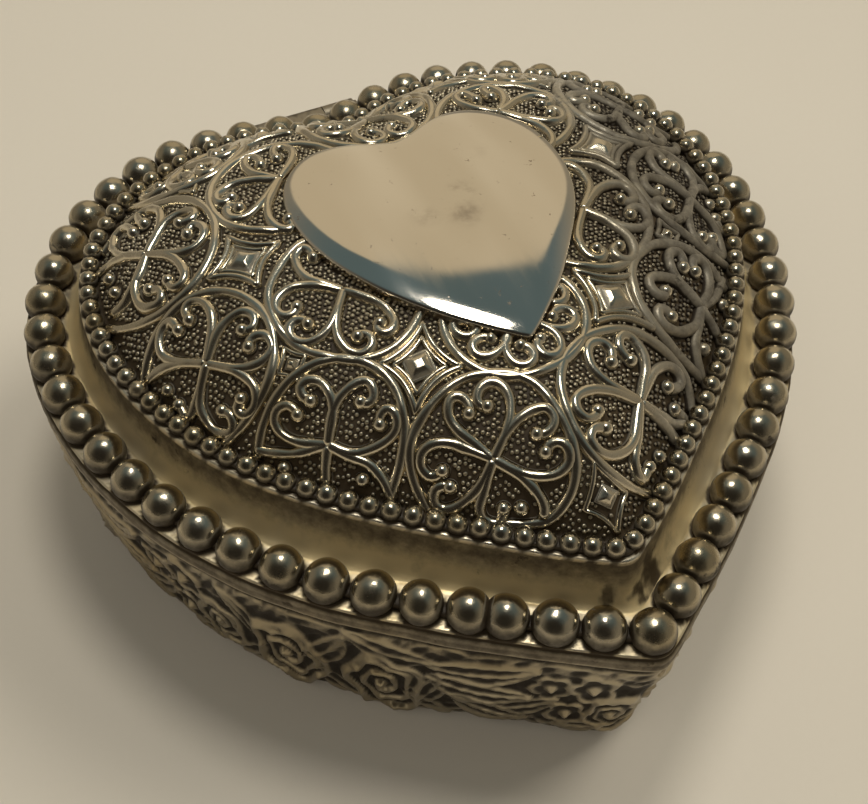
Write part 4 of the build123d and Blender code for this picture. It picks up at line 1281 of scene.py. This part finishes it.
inner = []   # continues up from the wall: shoulder, lip, inner wall, floor
for out, z, gq in ((1.72, 25.8, 0.6), (0.6, 25.8, 0.4), (0.05, 25.8, 0.4), (-0.1, 25.9, 0.3), (-0.1, 27.0, 0.15), (-0.28, 27.25, 0.1), (-0.5, 27.3, 0.1),
                   (-1.2, 27.3, 0.1), (-1.42, 27.2, 0.15), (-1.55, 27.0, 0.2), (-3.0, 14.8, 0.3), (-4.6, 2.4, 0.5)):
    inner.append((ring_points(base_r(out), z, B_BEAR), gq))
low = [(ring_points(base_r(-2.3) * 0.0 + base_r(-9.0), 0.8, B_BEAR), 0.7), (ring_points(base_r(-3.2), 0.8, B_BEAR), 0.7)]
rows = [low[0][0], low[1][0]] + [surface[i] for i in range(NZ)] + [r_ for r_, _ in inner] + [ring_points(base_r(-9.0), 2.4, B_BEAR)]
gr = np.concatenate([np.full(NU, 0.7), np.full(NU, 0.7), g_base.ravel()] + [np.full(NU, q_) for _, q_ in inner] + [np.full(NU, 0.5)])
nrow = len(rows)
pts = np.vstack(rows + [np.array([[0, CY, 0.8]]), np.array([[0, CY, 2.4]])])
base = Soup()
tn = np.r_[(0.35 + 0.5 * waves(np.vstack(rows), 16.0, 61) * 0.5).clip(0, 1), 0.4, 0.4]
base.add(pts, grid_faces(nrow, NU), np.vstack([fan(0, NU, nrow * NU, True), fan((nrow - 1) * NU, NU, nrow * NU + 1)]), np.r_[gr, 0.7, 0.5], tn)
base.build("base_casting", "base", mat_base, ("base_shell",))

# stipple on the base's ground
pitch_b = 0.85
bu, bv = np.meshgrid(np.arange(0, PER, pitch_b), np.arange(0.8, 24.9, pitch_b * 0.866))
bu = (bu + (np.arange(bu.shape[0])[:, None] % 2) * pitch_b / 2).ravel() + RNG.uniform(-0.17, 0.17, bu.size)
bv = bv.ravel() + RNG.uniform(-0.14, 0.14, bv.size)
ci = np.clip(np.round(bv / (PARTING_Z - BASE_Z) * (NZ - 1)).astype(int), 0, NZ - 1)
cj = np.round(bu / PER * NU).astype(int) % NU
okay = relief[ci, cj] < 0.10
ci, cj = ci[okay], cj[okay]
p = surface[ci, cj]
n = nrm[ci, cj]
rad = RNG.uniform(0.22, 0.33, len(p))
granules("base_stipple", p, n, rad, rad * 0.8, "base", mat_base)
print("base granules", len(p))

# ---------------------------------------------------------------------------
# Linings
# ---------------------------------------------------------------------------
def lining(name, rows_, body, material, replaces, centre_low_z, centre_top_z, bear):
    n_ = len(bear)
    pts_ = np.vstack(rows_ + [np.array([[0, CY, centre_low_z]]), np.array([[0, CY, centre_top_z]])])
    s_ = Soup()
    k = len(rows_)
    s_.add(pts_, grid_faces(k, n_), np.vstack([fan(0, n_, k * n_, True), fan((k - 1) * n_, n_, k * n_ + 1)]), 0.0, 0.0)
    return s_.build(name, body, material, replaces)


bear = BEAR[::2]
NBB = len(bear)


def wall_in(z):
    return -4.6 + (z - 2.4) / (27.3 - 2.4) * 3.1


pad_out = wall_in(3.4) - 0.12 - 1.0 - 0.35
rows_ = []
for out, z in ((-3.0, 3.42), (-0.6, 3.42), (-0.15, 3.5), (0.0, 3.9), (-0.02, 4.5), (-0.25, 5.2), (-0.7, 5.75), (-1.4, 6.1), (-2.4, 6.28), (-4.0, 6.36)):
    r_ = radial(shifted(BEAD_LINE, pad_out + out))(bear)
    q_ = ring_points(r_, z, bear)
    if z > 4.2:
        q_[:, 2] += waves(q_, 7.0, 71) * 0.05 + 0.06 * np.sin(np.arange(NBB) / NBB * 2 * math.pi * 62) * smoothstep(6.4, 5.4, z)
    rows_.append(q_)
r_last = radial(shifted(BEAD_LINE, pad_out - 4.0))(bear)
for k in np.linspace(0.93, 0.08, 22):
    q_ = ring_points(r_last * k, 6.4, bear)
    q_[:, 2] += waves(q_, 9.0, 72) * 0.07 + waves(q_, 3.0, 73) * 0.02 - 0.12 * (1 - k)
    rows_.append(q_)
cushion = lining("floor_cushion", rows_, "base", mat_velvet, ("floor_pad",), 3.42, 6.3, bear)

# velvet round the wall, a closed band
band_rows = []
zs = np.linspace(3.5, 25.1, 14)
ripple = lambda q_, amount: waves(q_, 6.0, 81) * amount
outer_rows, inner_rows = [], []
for z in zs:
    q_ = ring_points(radial(shifted(BEAD_LINE, wall_in(z) - 0.16))(bear), z, bear)
    outer_rows.append(q_)
    edge_soft = smoothstep(25.1, 24.2, z) * 0.85 + 0.15
    r_ = radial(shifted(BEAD_LINE, wall_in(z) - 0.12 - 0.95 * edge_soft))(bear)
    q_ = ring_points(r_, z, bear)
    q_[:, :2] += (q_[:, :2] - [0, CY]) / np.linalg.norm(q_[:, :2] - [0, CY], axis=1)[:, None] * (ripple(q_, 0.03)[:, None] - 0.02)
    inner_rows.append(q_)
top_row = (outer_rows[-1] + inner_rows[-1]) / 2 + [0, 0, 0.08]
loop_rows = outer_rows + [top_row] + inner_rows[::-1]
wl = Soup()
wl.add(np.vstack(loop_rows), grid_faces(len(loop_rows), NBB, wrap_rows=True), None, 0.0, 0.0)
wl.build("wall_velvet", "base", mat_velvet, ("wall_lining",))

# velvet on the lid's card: a padded board seen when the lid is open
rows_ = []
seat = -3.6 - 0.12
for out, z in ((-1.2, 26.86), (-0.6, 26.98), (-0.2, 27.25), (-0.03, 27.7), (0.0, 28.3), (0.0, 29.0), (-0.1, 29.15)):
    q_ = ring_points(radial(shifted(BEAD_LINE, seat + out))(bear), z, bear)
    rows_.append(q_)
first = radial(shifted(BEAD_LINE, seat - 1.2))(bear)
under = []
for k in np.linspace(0.06, 0.95, 22):
    q_ = ring_points(first * k, 26.8, bear)
    q_[:, 2] += waves(q_, 9.0, 91) * 0.05 + waves(q_, 3.0, 92) * 0.015
    under.append(q_)
rows_ = under + rows_
lid_velvet = lining("lid_velvet", rows_, "lid", mat_velvet, ("lid_pad", "lid_card"), 26.85, 29.15, bear)

for name, material, slot_name in (("base_felt", mat_felt, "felt"), ("floor_card", mat_card, "card"), ("base_leaf", mat_hinge, "hinge_metal"),
                                  ("lid_leaf", mat_hinge, "hinge_metal"), ("hinge_pin", mat_hinge, "hinge_metal")):
    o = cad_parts[name]
    o.data.materials.clear()
    o.data.materials.append(material)

# ---------------------------------------------------------------------------
# Floor, light and camera
# ---------------------------------------------------------------------------
def floor_material():
    m, nt, bsdf, co = new_material("pale_floor")
    f = noise(nt, co, 900.0, 4.0, 0.6)
    w = noise(nt, co, 14.0, 2.0, 0.5)
    nt.links.new(mix_color(nt, math_node(nt, "ADD", math_node(nt, "MULTIPLY", f, 0.4), math_node(nt, "MULTIPLY", w, 0.6)), (0.655, 0.590, 0.485), (0.695, 0.628, 0.520)), bsdf.inputs["Base Color"])
    bsdf.inputs["Roughness"].default_value = 0.85
    bsdf.inputs["Specular IOR Level"].default_value = 0.25
    return m


fm = bpy.data.meshes.new("floor")
S = 1.6
fm.from_pydata([(-S, -S, 0), (S, -S, 0), (S, S, 0), (-S, S, 0)], [], [(0, 1, 2, 3)])
floor = bpy.data.objects.new("floor", fm)
bpy.context.scene.collection.objects.link(floor)
fm.materials.append(floor_material())

world = bpy.data.worlds.new("room")
bpy.context.scene.world = world
world.use_nodes = True
wn = world.node_tree
bg = wn.nodes["Background"]
tcw = wn.nodes.new("ShaderNodeTexCoord")


def toward(az, el):
    a, e = math.radians(az), math.radians(el)
    return Vector((math.cos(a) * math.cos(e), math.sin(a) * math.cos(e), math.sin(e)))


def blob(az, el, inner, outer):
    """1 inside a cone of that half angle round a direction, 0 outside."""
    d_ = wn.nodes.new("ShaderNodeVectorMath")
    d_.operation = "DOT_PRODUCT"
    nrm_ = wn.nodes.new("ShaderNodeVectorMath")
    nrm_.operation = "NORMALIZE"
    wn.links.new(tcw.outputs["Generated"], nrm_.inputs[0])
    wn.links.new(nrm_.outputs["Vector"], d_.inputs[0])
    d_.inputs[1].default_value = toward(az, el)
    return ramp(wn, d_.outputs["Value"], math.cos(math.radians(outer)), math.cos(math.radians(inner)))


col = mix_color(wn, blob(50, 80, 26, 62), (0.25, 0.225, 0.18), (0.105, 0.150, 0.165))
col = mix_color(wn, blob(12, 8, 8, 44), col, (0.30, 0.265, 0.20))
col = mix_color(wn, blob(228, 38, 20, 70), col, (0.026, 0.023, 0.019))
col = mix_color(wn, blob(65, 30.0, 23.4, 25.6), col, (0.60, 0.515, 0.375))
wn.links.new(col, bg.inputs["Color"])
bg.inputs["Strength"].default_value = 1.0


def area(name, at_mm, look_mm, size_mm, power, color, glossy=True):
    l_ = bpy.data.lights.new(name, "AREA")
    l_.shape = "DISK" if size_mm < 200 else "SQUARE"
    l_.size = size_mm * MM
    l_.energy = power
    l_.color = color
    o = bpy.data.objects.new(name, l_)
    bpy.context.scene.collection.objects.link(o)
    o.location = Vector(at_mm) * MM
    o.rotation_euler = (Vector(look_mm) - Vector(at_mm)).to_track_quat("-Z", "Y").to_euler()
    o.visible_glossy = glossy
    return o


area("window", (880, 60, 1060), (0, 0, 0), 600, 8.0, (1.0, 0.965, 0.89), False)
area("fill", (-560, -420, 900), (0, 0, 0), 800, 2.5, (1.0, 0.965, 0.90), False)
area("lamp", (24, 66, 430), (0, 0, 30), 112, 0.60, (1.0, 0.97, 0.91), True)

cam_data = bpy.data.cameras.new("camera")
cam = bpy.data.objects.new("camera", cam_data)
bpy.context.scene.collection.objects.link(cam)
az, el, roll, dist = math.radians(-28.87), math.radians(51.25), math.radians(2.98), 157.0
target = np.array([-5.74, -7.48 - YC, BEAD_PLANE])
dvec = np.array([math.sin(az) * math.cos(el), -math.cos(az) * math.cos(el), math.sin(el)])
fwd = -dvec
right = np.cross(fwd, [0, 0, 1]); right /= np.linalg.norm(right)
down = np.cross(fwd, right)
R0 = np.array([right, down, fwd])
RR = np.array([[math.cos(roll), -math.sin(roll), 0], [math.sin(roll), math.cos(roll), 0], [0, 0, 1]]) @ R0
pos = target + dvec * dist
cam.matrix_world = Matrix(((RR[0][0], -RR[1][0], -RR[2][0], pos[0] * MM), (RR[0][1], -RR[1][1], -RR[2][1], pos[1] * MM),
                           (RR[0][2], -RR[1][2], -RR[2][2], pos[2] * MM), (0, 0, 0, 1)))
cam_data.sensor_width = 36.0
cam_data.lens = 54.44
cam_data.shift_x = -0.0152
cam_data.shift_y = -0.0035
cam_data.clip_start, cam_data.clip_end = 0.005, 20.0
cam_data.dof.use_dof = False
bpy.context.scene.camera = cam
bpy.context.scene.view_settings.view_transform = "Standard"
bpy.context.scene.view_settings.look = "None"
